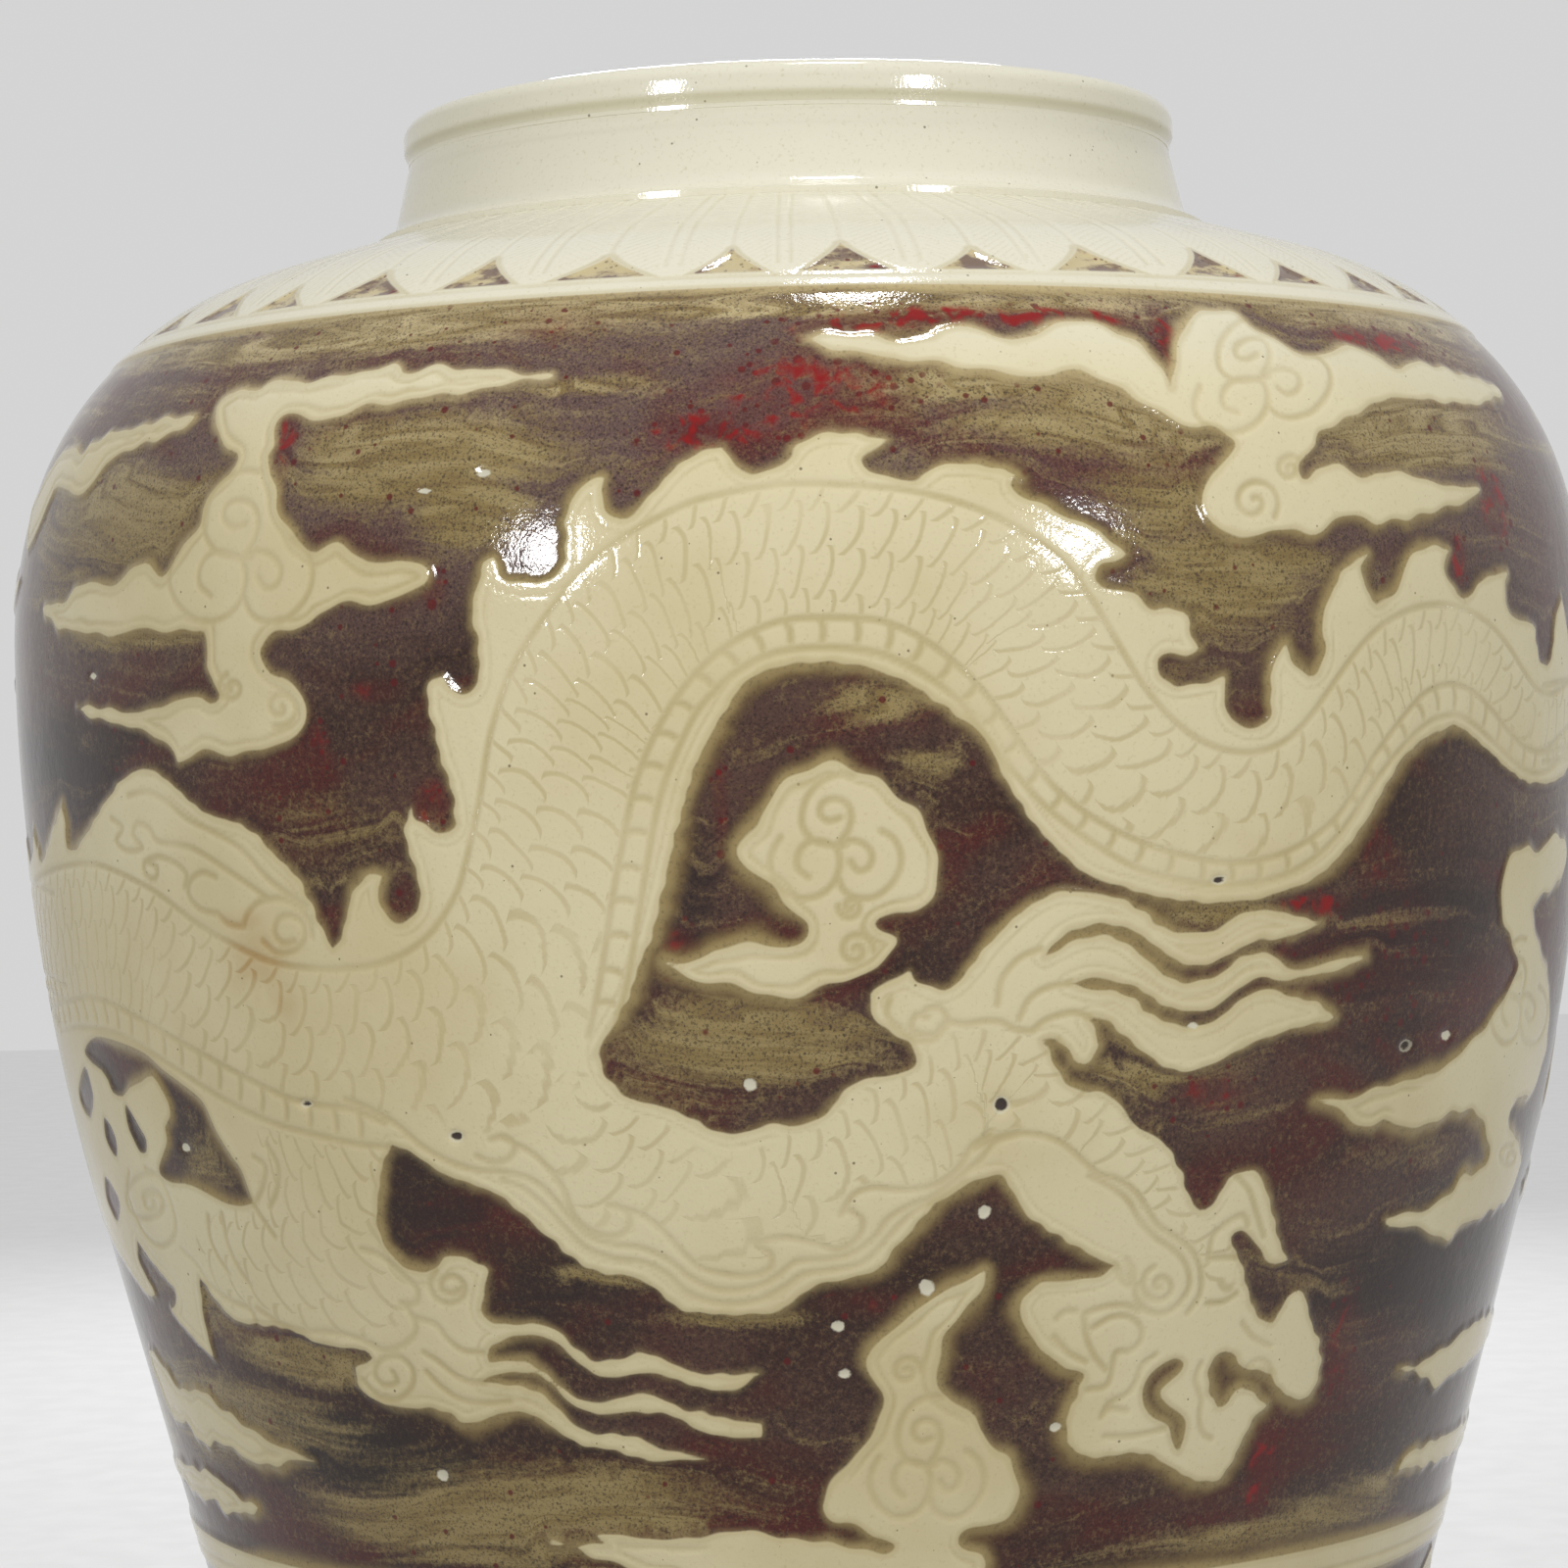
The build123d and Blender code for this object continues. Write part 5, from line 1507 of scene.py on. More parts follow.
def wall_section(name, low, high):
    """One section of the wall, carved outside, with throwing rings inside. None means the wall's end."""
    low_at = FOOT_TOP + SLIP if low is None else joint_outer(low, SLIP)[1]
    neck_run = OUTSIDE_RUN[-1] - (NECK_FOOT_RADIUS - NECK_LAP - MOUTH_RADIUS) / math.cos(CROWN_SLOPE)
    high_run = neck_run if high is None else run_at(joint_outer(high, 0.0)[1])
    surface = Surface(run_at(low_at), high_run)
    field = fields(surface)
    depth = section_depth(surface, field, low is None, high is None)
    tilt = np.gradient(surface.radii, surface.runs)
    carved_radii, carved_heights = carve_in(surface.radii, surface.heights, tilt, depth)
    top, bottom = top_rows(high, high_run), bottom_rows(low)
    inner = inner_rows(bottom[0][1], top[-1][1])
    plain = np.array(top + inner + bottom)
    thrown = slice(len(top), len(top) + len(inner))
    rings = np.zeros(len(plain))
    at = plain[thrown, 1]
    rings[thrown] = RING_DEPTH + 0.3 * np.sin(at / RING_SPACING[0]) + 0.2 * np.sin(at / RING_SPACING[1] + 2.0)
    wobble = RING_WOBBLE * uneven(surface.angles, plain[:, 1], scale=120.0, seed=11)
    radii = np.vstack((carved_radii, plain[:, :1] + rings[:, None] * (1 + wobble)))
    heights = np.vstack((carved_heights, np.repeat(plain[:, 1:], COLUMNS, axis=1)))
    rows, carved = len(radii), len(surface.runs)
    outer_uvs = strip_uvs(carved - 1, COLUMNS, 0.0, OUTER_SHARE, OUTER_PANELS)
    inner_uvs = strip_uvs(rows - carved + 1, COLUMNS, OUTER_SHARE, 1.0, 1)
    quads = grid_faces(rows, COLUMNS, True)
    points = ring_points(radii, heights, surface.angles)
    thing = mesh_object(name, points, quads, np.concatenate((outer_uvs, inner_uvs)))
    put_fields(thing, field, rows)
    return thing


def joint_slip(name, height):
    """The slip between two sections: carved with them outside, a smoothed bead inside."""
    surface = Surface(run_at(joint_outer(height, 0.0)[1]), run_at(joint_outer(height, SLIP)[1]))
    keep = np.linspace(0, len(surface.runs) - 1, SLIP_ROWS).astype(int)
    field = {key: values[keep] for key, values in fields(surface).items()}
    base, up = outside_at(surface.runs[keep])
    tilt = np.gradient(surface.radii, surface.runs)[keep]
    carved_radii, carved_heights = carve_in(base, up, tilt, carved_depth(field, up))
    inner_low, inner_high = inner_edge(height, 0.0), inner_edge(height, SLIP)
    middle = ((inner_low[0] + inner_high[0]) / 2 - BEAD_SINK, (inner_low[1] + inner_high[1]) / 2)
    plain = joint_rows(height, SLIP) + [inner_high]
    for turn in np.linspace(BEAD_END, -BEAD_END, BEAD_POINTS):
        plain.append((middle[0] - BEAD * math.cos(turn), middle[1] + BEAD * math.sin(turn)))
    plain += [inner_low] + joint_rows(height, 0.0)[::-1]
    plain = np.array(plain)
    radii = np.vstack((carved_radii, np.repeat(plain[:, :1], COLUMNS, axis=1)))
    heights = np.vstack((carved_heights, np.repeat(plain[:, 1:], COLUMNS, axis=1)))
    thing = ring_object(name, radii, heights, surface.angles)
    put_fields(thing, field, len(radii))
    return thing


def plain_ring(name, outline, wobble=0.0, seed=1):
    """A turned ring from a closed outline of (radius, height), with a slight hand-made wobble."""
    outline = np.array(outline, float)
    angles = round_angles(PLAIN_COLUMNS)
    move = wobble * (uneven(angles, outline[:, 1], scale=60.0, seed=seed) - 1) / 2
    outer = outline[:, 0] > outline[:, 0].mean()
    radii = outline[:, :1] + move * np.where(outer, 1, -1)[:, None]
    heights = np.repeat(outline[:, 1:], PLAIN_COLUMNS, axis=1)
    return ring_object(name, radii, heights, angles)


def fine(points, step=1.2):
    """An outline with points added along its straight stretches."""
    points = np.array(points, float)
    out = []
    for a, b in zip(points, np.roll(points, -1, axis=0)):
        count = max(1, int(np.hypot(*(b - a)) / step))
        for k in range(count):
            out.append(tuple(a + (b - a) * k / count))
    return out


def rounded(corner, before, after, radius, count=6):
    """Points of a round that takes off a corner between two straight sides."""
    corner, before, after = (np.array(p, float) for p in (corner, before, after))
    one = (before - corner) / np.hypot(*(before - corner))
    two = (after - corner) / np.hypot(*(after - corner))
    half = math.acos(np.clip(one @ two, -1, 1)) / 2
    run = radius / math.tan(half)
    middle = corner + (one + two) / np.hypot(*(one + two)) * radius / math.sin(half)
    first, last = corner + one * run - middle, corner + two * run - middle
    start = math.atan2(first[1], first[0])
    turn = math.atan2(last[1], last[0]) - start
    turn = (turn + math.pi) % (2 * math.pi) - math.pi
    angles = [start + turn * k / count for k in range(count + 1)]
    return [(middle[0] + radius * math.cos(angle), middle[1] + radius * math.sin(angle)) for angle in angles]


# Neck, lip, foot and base, as the CAD model has them
NECK_TOP_RADIUS = 117.3
NECK_ROOT_RADIUS = 122.5
NECK_FLARE_EDGE = 0.6
NECK_FLARE_ROUND = 8.0
NECK_HEIGHT = 25.7
LIP_RADIUS = 118.8
LIP_HEIGHT = 12.0
LIP_OUTER_ROUND = 5.0
LIP_INNER_ROUND = 4.0
LIP_UNDERCUT = 3.0
LIP_UNDERCUT_ROUND = 1.4
FOOT_SETBACK = 2.3
FOOT_TAPER = 3.0
FOOT_BEVEL = 2.5
FOOT_INNER_BEVEL = 1.2
FOOT_RING_WIDTH = 17.0
LEDGE_WIDTH = 7.0
LEDGE_HEIGHT = 10.0
BASE_THICKNESS = 13.0
BASE_BEVEL = 2.0
BASE_RINGS = 26
BASE_HOLE = 6.0
BASE_DENT = 0.3


def crown_height(radius, lift=0.0):
    """Height of the crown's slope at a radius, lifted square to the slope."""
    run = (radius - MOUTH_RADIUS) * math.tan(CROWN_SLOPE)
    return OUTSIDE[-1][1] - run + lift / math.cos(CROWN_SLOPE)


NECK_TOP = crown_height(NECK_ROOT_RADIUS) + NECK_HEIGHT
JAR_TOP = NECK_TOP + LIP_HEIGHT
FOOT_TOP_RADIUS = radius_at(FOOT_TOP + SLIP) - FOOT_SETBACK
FOOT_RADIUS = FOOT_TOP_RADIUS - FOOT_TAPER
FOOT_INNER = FOOT_RADIUS - FOOT_RING_WIDTH
FOOT_SEAT = FOOT_INNER + LEDGE_WIDTH


def neck_outline():
    foot_low = (NECK_FOOT_RADIUS, crown_height(NECK_FOOT_RADIUS, SLIP))
    foot_high = (NECK_FOOT_RADIUS, crown_height(NECK_FOOT_RADIUS, SLIP + NECK_FLARE_EDGE))
    root = (NECK_ROOT_RADIUS, crown_height(NECK_ROOT_RADIUS, SLIP + NECK_FLARE_EDGE))
    top = (NECK_TOP_RADIUS, NECK_TOP - SLIP)
    inner_top = (MOUTH_RADIUS, NECK_TOP - SLIP)
    inner_low = (MOUTH_RADIUS, crown_height(MOUTH_RADIUS, SLIP))
    flare = rounded(root, foot_high, top, NECK_FLARE_ROUND, 8)
    return fine([inner_low, foot_low, foot_high] + flare + [top, inner_top])


def lip_outline():
    inner_low = (MOUTH_RADIUS, NECK_TOP)
    inner_high = (MOUTH_RADIUS, JAR_TOP)
    outer_high = (LIP_RADIUS, JAR_TOP)
    outer_low = (LIP_RADIUS, NECK_TOP + LIP_UNDERCUT)
    under = (NECK_TOP_RADIUS, NECK_TOP)
    points = [inner_low, under]
    points += rounded(outer_low, under, outer_high, LIP_UNDERCUT_ROUND, 5)
    points += rounded(outer_high, outer_low, inner_high, LIP_OUTER_ROUND, 9)
    points += rounded(inner_high, outer_high, inner_low, LIP_INNER_ROUND, 8)
    return fine(points, 0.9)


def slip_outlines():
    """Outlines of the thin slips at the neck, the lip and the foot."""
    neck = [
        (MOUTH_RADIUS, crown_height(MOUTH_RADIUS)),
        (NECK_FOOT_RADIUS, crown_height(NECK_FOOT_RADIUS)),
        (NECK_FOOT_RADIUS, crown_height(NECK_FOOT_RADIUS, SLIP)),
        (MOUTH_RADIUS, crown_height(MOUTH_RADIUS, SLIP)),
    ]
    lip = [
        (MOUTH_RADIUS, NECK_TOP - SLIP),
        (NECK_TOP_RADIUS, NECK_TOP - SLIP),
        (NECK_TOP_RADIUS, NECK_TOP),
        (MOUTH_RADIUS, NECK_TOP),
    ]
    inner = np.interp(FOOT_TOP + SLIP, INSIDE[:, 1], INSIDE[:, 0])
    foot = [
        (inner, FOOT_TOP),
        (FOOT_TOP_RADIUS, FOOT_TOP),
        (radius_at(FOOT_TOP + SLIP), FOOT_TOP + SLIP),
        (inner, FOOT_TOP + SLIP),
    ]
    edge = FOOT_SEAT - SLIP
    top = LEDGE_HEIGHT + BASE_THICKNESS
    base = [
        (edge, LEDGE_HEIGHT),
        (FOOT_SEAT, LEDGE_HEIGHT),
        (FOOT_SEAT, FOOT_TOP),
        (edge - BASE_BEVEL, top),
        (edge, top - BASE_BEVEL),
    ]
    return {"neck_slip": neck, "lip_slip": lip, "foot_slip": foot, "base_slip": base}


def foot_outline():
    low_round = rounded((FOOT_RADIUS, 0.0), (FOOT_INNER, 0.0), (FOOT_TOP_RADIUS, FOOT_TOP), FOOT_BEVEL)
    inner_corner = ((FOOT_INNER, 0.0), (FOOT_INNER, LEDGE_HEIGHT), (FOOT_RADIUS, 0.0))
    inner_round = rounded(*inner_corner, FOOT_INNER_BEVEL, 4)
    top = [(FOOT_TOP_RADIUS, FOOT_TOP), (FOOT_SEAT, FOOT_TOP)]
    ledge = [(FOOT_SEAT, LEDGE_HEIGHT), (FOOT_INNER, LEDGE_HEIGHT)]
    return fine(inner_round + low_round + top + ledge, 2.0)


def disc_uvs(corners, edge):
    """Bake layout of the base: its underside on the left, its top on the right."""
    half = np.where(corners[:, 2] > LEDGE_HEIGHT + BASE_THICKNESS / 2, 0.5, 0.0)
    across = 0.25 + corners[:, 0] / (4.1 * edge) + half
    up = 0.5 + corners[:, 1] / (2.05 * edge)
    rim = np.hypot(corners[:, 0], corners[:, 1]) > edge - 0.01
    up = np.where(rim, np.clip(up * 1.004 - 0.002, 0, 1), up)
    return np.column_stack((across, up))


def middle_fans(first, last, low_middle, top_middle):
    """Triangles from the middle of each face to its innermost row."""
    fans = []
    for column in range(PLAIN_COLUMNS):
        beside = (column + 1) % PLAIN_COLUMNS
        fans.append((low_middle, first + beside, first + column))
        fans.append((top_middle, last + column, last + beside))
    return fans


def base_slab(name):
    """The flat base, with slightly uneven faces from being beaten out by hand."""
    edge = FOOT_SEAT - SLIP
    top = LEDGE_HEIGHT + BASE_THICKNESS
    rings = np.linspace(BASE_HOLE, edge - BASE_BEVEL, BASE_RINGS)
    profile = [(r, LEDGE_HEIGHT) for r in rings] + [(edge, LEDGE_HEIGHT), (edge, top - BASE_BEVEL)]
    profile = np.array(profile + [(r, top) for r in rings[::-1]])
    angles = round_angles(PLAIN_COLUMNS)
    radii = np.repeat(profile[:, :1], PLAIN_COLUMNS, axis=1)
    heights = np.repeat(profile[:, 1:], PLAIN_COLUMNS, axis=1)
    dents = BASE_DENT * (1 + uneven(angles, profile[:, 0], scale=90.0, seed=21))
    inner = profile[:, 0] < edge - BASE_BEVEL
    lift = np.where(profile[:, 1] > LEDGE_HEIGHT + 1, -1.0, 1.0) * inner
    heights = heights + dents * lift[:, None]
    points = ring_points(radii, heights, angles)
    middles = np.array([[0.0, 0.0, LEDGE_HEIGHT + BASE_DENT], [0.0, 0.0, top - BASE_DENT]])
    quads = grid_faces(len(profile), PLAIN_COLUMNS, False)
    count = len(points)
    fans = middle_fans(0, count - PLAIN_COLUMNS, count, count + 1)
    points = np.vstack((points, middles))
    corners = np.concatenate((quads.ravel(), np.array(fans).ravel()))
    return mesh_object(name, points, quads, disc_uvs(points[corners], edge), fans)


def pour(thing, surface_material, node):
    """Gives a piece its material and puts it in the place of its plain CAD node."""
    thing.data.materials.append(surface_material)
    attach(thing, "root")
    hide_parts(node)
    return thing


def linear(red, green, blue):
    """A colour given as 0-255 display values, made linear for the shader."""
    parts = []
    for value in (red, green, blue):
        share = value / 255.0
        parts.append(share / 12.92 if share <= 0.04045 else ((share + 0.055) / 1.055) ** 2.4)
    return (*parts, 1.0)


class Shader:
    """A material being built: short calls that each add one node and return its output."""

    def __init__(self, name):
        self.material = bpy.data.materials.new(name)
        self.material.use_nodes = True
        self.nodes = self.material.node_tree.nodes
        self.links = self.material.node_tree.links
        self.nodes.clear()
        self.place = self.make("ShaderNodeTexCoord").outputs["Object"]

    def make(self, kind):
        return self.nodes.new(kind)

    def put(self, socket, value):
        if isinstance(value, bpy.types.NodeSocket):
            self.links.new(value, socket)
        else:
            socket.default_value = value

    def sum(self, operation, one, two=0.5, three=0.0):
        """One step of arithmetic."""
        node = self.make("ShaderNodeMath")
        node.operation = operation
        self.put(node.inputs[0], one)
        self.put(node.inputs[1], two)
        self.put(node.inputs[2], three)
        return node.outputs[0]

    def times(self, one, two):
        return self.sum("MULTIPLY", one, two)

    def plus(self, one, two):
        return self.sum("ADD", one, two)

    def less(self, one, two):
        return self.sum("SUBTRACT", one, two)

    def fade(self, value, low, high, start=0.0, end=1.0):
        """A smooth change from start to end while value runs from low to high."""
        node = self.make("ShaderNodeMapRange")
        node.interpolation_type = "SMOOTHSTEP"
        self.put(node.inputs["Value"], value)
        self.put(node.inputs["From Min"], low)
        self.put(node.inputs["From Max"], high)
        self.put(node.inputs["To Min"], start)
        self.put(node.inputs["To Max"], end)
        return node.outputs["Result"]

    def mix(self, share, one, two):
        """A colour that share leads from the first to the second."""
        node = self.make("ShaderNodeMix")
        node.data_type = "RGBA"
        self.put(node.inputs[0], share)
        self.put(node.inputs[6], one)
        self.put(node.inputs[7], two)
        return node.outputs[2]

    def axes(self):
        """The X, Y and Z of the place."""
        split = self.make("ShaderNodeSeparateXYZ")
        self.put(split.inputs[0], self.place)
        return [split.outputs[axis] for axis in "XYZ"]

    def field(self, name):
        node = self.make("ShaderNodeAttribute")
        node.attribute_name = name
        return node.outputs["Fac"]

    def stretched(self, across, up, place=None):
        """Object space scaled apart: cells per metre across and up."""
        node = self.make("ShaderNodeMapping")
        self.put(node.inputs["Vector"], self.place if place is None else place)
        self.put(node.inputs["Scale"], (across, across, up))
        return node.outputs["Vector"]

    def noise(self, vector, scale, detail=3.0, rough=0.5, bend=0.0):
        node = self.make("ShaderNodeTexNoise")
        self.put(node.inputs["Vector"], vector)
        self.put(node.inputs["Scale"], scale)
        self.put(node.inputs["Detail"], detail)
        self.put(node.inputs["Roughness"], rough)
        self.put(node.inputs["Distortion"], bend)
        return node.outputs["Fac"]

    def dots(self, scale, size, keep):
        """Scattered soft dots: 1 in a dot. Keep is the share of cells that hold one."""
        cells = self.make("ShaderNodeTexVoronoi")
        self.put(cells.inputs["Vector"], self.place)
        self.put(cells.inputs["Scale"], scale)
        chance = self.make("ShaderNodeSeparateColor")
        self.put(chance.inputs[0], cells.outputs["Color"])
        chosen = self.sum("LESS_THAN", chance.outputs[0], keep)
        wide = self.times(self.plus(chance.outputs[1], 0.4), size)
        near = self.less(1.0, self.sum("DIVIDE", cells.outputs["Distance"], wide))
        return self.times(chosen, self.fade(near, 0.0, 0.45))

    def finish(self, colour, rough, height=None, depth=0.0):
        """The finished material, with bumps where a height is given."""
        surface = self.make("ShaderNodeBsdfPrincipled")
        self.put(surface.inputs["Base Color"], colour)
        self.put(surface.inputs["Roughness"], rough)
        surface.inputs["IOR"].default_value = GLAZE_IOR
        if height is not None:
            bump = self.make("ShaderNodeBump")
            bump.inputs["Strength"].default_value = 1.0
            bump.inputs["Distance"].default_value = depth
            self.put(bump.inputs["Height"], height)
            self.put(surface.inputs["Normal"], bump.outputs["Normal"])
        out = self.make("ShaderNodeOutputMaterial")
        self.links.new(surface.outputs[0], out.inputs["Surface"])
        return self.material


GLAZE_IOR = 1.4
CREAM = linear(224, 213, 174)
CREAM_WARM = linear(212, 198, 154)
CREAM_COOL = linear(228, 224, 204)
CREAM_LINE = linear(186, 170, 120)
STAIN = linear(176, 136, 76)
OLIVE = linear(130, 109, 62)
OLIVE_PALE = linear(158, 139, 92)
# Paler khaki towards the shoulder: painted light, where the upper ground faces the light above
OLIVE_PAINTED_LIGHT = linear(190, 172, 128)
OLIVE_DARK = linear(112, 90, 52)
HALO = linear(120, 98, 60)
TENT = linear(204, 189, 146)
PURPLE = linear(86, 60, 52)
MAUVE = linear(108, 84, 80)
BROWN = linear(54, 31, 22)
MAROON = linear(88, 24, 21)
BLACKISH = linear(34, 23, 21)
RED = linear(138, 12, 12)
RED_DEEP = linear(90, 10, 13)
CLAY = linear(196, 172, 134)
CLAY_RED = linear(164, 112, 72)
CLAY_DARK = linear(60, 50, 44)
CLAY_SAND = linear(120, 90, 62)
WHITE_PIT = linear(214, 209, 186)
SPECK = linear(96, 78, 52)
# Painted shade: the darker colour of the groove under the lip's bead
GROOVE_SHADE = linear(176, 168, 132)
TURNED_BAND = linear(206, 200, 176)

# Heights in metres over which one look of the glaze gives way to the next
CREAM_COOLS = (0.43, 0.49)
NECK_COOL = (0.5, 0.515)
# The next two make the ground paler and mauve-grey towards the shoulder: painted light, where it faces the
# light above
PAINTED_LIGHT_PALE_TOP = (0.41, 0.465)
PAINTED_LIGHT_MAUVE_TOP = (0.40, 0.475)
THIN_TOP = (0.40, 0.462)
THIN_CROWN = (0.462, 0.472)
HALO_NARROWS = (0.3, 0.43)
MORE_FLECKS = (0.34, 0.45)
CROWN_PAINT = (0.4735, 0.4755)
# Painted shade: the heights of the groove under the lip's bead
GROOVE_SHADE_LOW = (0.5345, 0.5385)
GROOVE_SHADE_HIGH = (0.5375, 0.5405)
BRUSH_SWAY = 0.09
BRUSH_FOLLOW = 0.0012
SCALE_BUMP = 0.22
SCALE_STRAY = 5.0
# Depth in metres of the bumps in each glaze and in the clay
PAINTED_BUMP = 0.00022
PLAIN_BUMP = 0.00018
CLAY_BUMP = 0.0004


def scale_lines(shader):
    """Closeness to the scales' rounded edges, from the place along and across their rows."""
    along, across = shader.field("su"), shader.field("sv")
    drift, stray = (shader.noise(shader.place, scale, 1.0) for scale in (60.0, 47.0))
    along = shader.plus(along, shader.times(shader.less(drift, 0.5), SCALE_STRAY))
    across = shader.plus(across, shader.times(shader.less(stray, 0.5), SCALE_STRAY))
    best = None
    for parity in (0.0, 0.5):
        lane = shader.less(across, SCALE_LANE * parity)
        off = shader.sum("WRAP", lane, SCALE_LANE / 2, -SCALE_LANE / 2)
        share = shader.times(off, 1.0 / SCALE_HALF)
        square = shader.less(1.0, shader.times(share, share))
        flat = shader.sum("SQRT", shader.sum("MAXIMUM", square, 0.02))
        place = shader.less(shader.less(along, SCALE_LENGTH * parity), shader.times(flat, SCALE_BULGE))
        gap = shader.sum("ABSOLUTE", shader.sum("WRAP", place, SCALE_LENGTH / 2, -SCALE_LENGTH / 2))
        slope = shader.times(shader.sum("ABSOLUTE", share), SCALE_BULGE / SCALE_HALF)
        slope = shader.sum("DIVIDE", slope, flat)
        steep = shader.sum("SQRT", shader.plus(1.0, shader.times(slope, slope)))
        gap = shader.sum("DIVIDE", gap, steep)
        gap = shader.plus(gap, shader.fade(square, 0.12, -0.02, 0.0, 2.0))
        best = gap if best is None else shader.sum("MINIMUM", best, gap)
    return shader.times(shader.fade(best, 0.25, 1.05, 1.0, 0.0), shader.field("scaled"))


def cream_colour(shader, cool):
    """The cream glaze: warmer where it is thick, cooler towards the neck, finely speckled."""
    cloud = shader.noise(shader.place, 9.0, 4.0, 0.6)
    colour = shader.mix(shader.fade(cloud, 0.38, 0.68), CREAM, CREAM_WARM)
    colour = shader.mix(cool, colour, CREAM_COOL)
    grain = shader.noise(shader.place, 900.0, 2.0, 0.6)
    colour = shader.mix(shader.fade(grain, 0.55, 0.8, 0.0, 0.35), colour, CREAM_LINE)
    specks = shader.dots(420.0, 0.16, 0.06)
    return shader.mix(shader.times(specks, 0.75), colour, SPECK)


def gloss(shader, low, high):
    """The glaze's roughness, which drifts a little over the jar."""
    return shader.fade(shader.noise(shader.place, 25.0, 3.0, 0.5), 0.3, 0.7, low, high)


def glaze_bump(shader):
    """Slight orange peel and waviness of the fired glaze."""
    peel = shader.noise(shader.place, 330.0, 2.0, 0.5)
    fine = shader.noise(shader.place, 1200.0, 1.0, 0.5)
    wave = shader.noise(shader.place, 60.0, 2.0, 0.5)
    fine_share = shader.plus(shader.times(peel, 0.3), shader.times(fine, 0.2))
    return shader.plus(fine_share, shader.times(wave, 0.9))


def carved_cream(shader, high, scales):
    """The cream with the cut lines, in which the glaze lies thicker and darker."""
    cool = shader.fade(high, *CREAM_COOLS)
    cream = cream_colour(shader, cool)
    lines = shader.fade(shader.field("line"), 0.1, LINE_HALF + 0.9, 1.0, 0.0)
    strength = shader.fade(shader.noise(shader.place, 35.0, 2.0, 0.6), 0.3, 0.7, 0.3, 0.75)
    combed = shader.times(shader.fade(shader.field("comb"), 0.35, 0.9, 1.0, 0.0), 0.3)
    marks = shader.times(shader.sum("MAXIMUM", lines, shader.times(scales, 0.75)), strength)
    marks = shader.sum("MAXIMUM", marks, combed)
    cream = shader.mix(shader.times(marks, shader.less(1.0, shader.times(cool, 0.45))), cream, CREAM_LINE)
    patch = shader.fade(shader.noise(shader.place, 45.0, 3.0, 0.6), 0.35, 0.65)
    stain = shader.times(shader.field("stain"), patch)
    return shader.mix(shader.times(stain, shader.plus(0.35, shader.times(marks, 0.6))), cream, STAIN)


def thin_paint(shader, high, clouds):
    """How thin the paint lies: in the khaki patches, in streaks, and towards the shoulder."""
    thin = shader.times(shader.field("khaki"), 1.1)
    for cloud, strength in clouds:
        thin = shader.plus(thin, shader.times(shader.less(cloud, 0.5), strength))
    thin = shader.plus(thin, shader.fade(high, *THIN_TOP, 0.0, 0.42))
    thin = shader.plus(thin, shader.fade(high, *THIN_CROWN, 0.0, 0.5))
    return shader.fade(thin, 0.12, 0.95)


def khaki_streaks(shader, place, high, grain):
    """The colour of thin paint: khaki, streaked pale and mauve by the brush, and paler towards the shoulder
    as painted light.
    """
    streak = shader.noise(shader.stretched(20.0, 210.0, place), 1.4, 4.0, 0.62, 0.9)
    pale = shader.mix(shader.fade(high, *PAINTED_LIGHT_PALE_TOP), OLIVE_PALE, OLIVE_PAINTED_LIGHT)
    khaki = shader.mix(shader.fade(streak, 0.35, 0.65), OLIVE, pale)
    dark_line = shader.plus(shader.less(0.5, streak), shader.times(shader.less(grain, 0.5), 0.8))
    return shader.mix(shader.fade(dark_line, 0.03, 0.26, 0.0, 0.45), khaki, MAUVE)


def brushed_ground(shader, place, high):
    """The copper wash: brown to mauve where thick, khaki where the brush left it thin. Towards the shoulder
    it is made mauve-grey and paler as painted light, and the dark patches at the sides and low down are
    partly painted shade.
    """
    wide = shader.noise(shader.stretched(9.0, 95.0, place), 1.5, 4.0, 0.6, 0.5)
    broad = shader.noise(shader.stretched(5.0, 12.0), 1.5, 3.0, 0.55)
    speck = shader.noise(shader.place, 620.0, 3.0, 0.75)
    grain = shader.noise(shader.place, 1500.0, 2.0, 0.7)
    paint = shader.plus(broad, shader.times(shader.less(speck, 0.5), 0.5))
    body = shader.mix(shader.fade(paint, 0.36, 0.64), BROWN, PURPLE)
    # painted light: the ground turns mauve-grey towards the shoulder, where it faces the light above
    top = shader.fade(shader.plus(high, shader.times(wide, 0.08)), *PAINTED_LIGHT_MAUVE_TOP, 0.0, 0.85)
    body = shader.mix(top, body, MAUVE)
    ember = shader.noise(shader.stretched(9.0, 17.0), 1.6, 3.0, 0.6, 0.6)
    body = shader.mix(shader.fade(ember, 0.47, 0.66, 0.0, 0.7), body, MAROON)
    body = shader.mix(shader.fade(speck, 0.5, 0.68, 0.0, 0.45), body, OLIVE_DARK)
    # the dark field and a wide streak darken the ground: thicker paint, and painted shade in the patches at
    # the sides and low down
    deep = shader.plus(shader.field("dark"), shader.times(shader.less(0.52, wide), 2.2))
    body = shader.mix(shader.fade(deep, 0.15, 1.1, 0.0, 0.8), body, BLACKISH)
    thin = thin_paint(shader, high, ((wide, 2.1), (broad, 1.3), (speck, 0.9)))
    ground = shader.mix(thin, body, khaki_streaks(shader, place, high, grain))
    ground = shader.mix(shader.fade(grain, 0.5, 0.68, 0.0, 0.65), ground, BLACKISH)
    # pale specks in the grain, with more of them towards the shoulder as painted light
    light = shader.times(shader.fade(grain, 0.48, 0.28, 0.0, 0.5), shader.plus(0.12, shader.times(top, 0.7)))
    return shader.mix(light, ground, OLIVE_PALE)


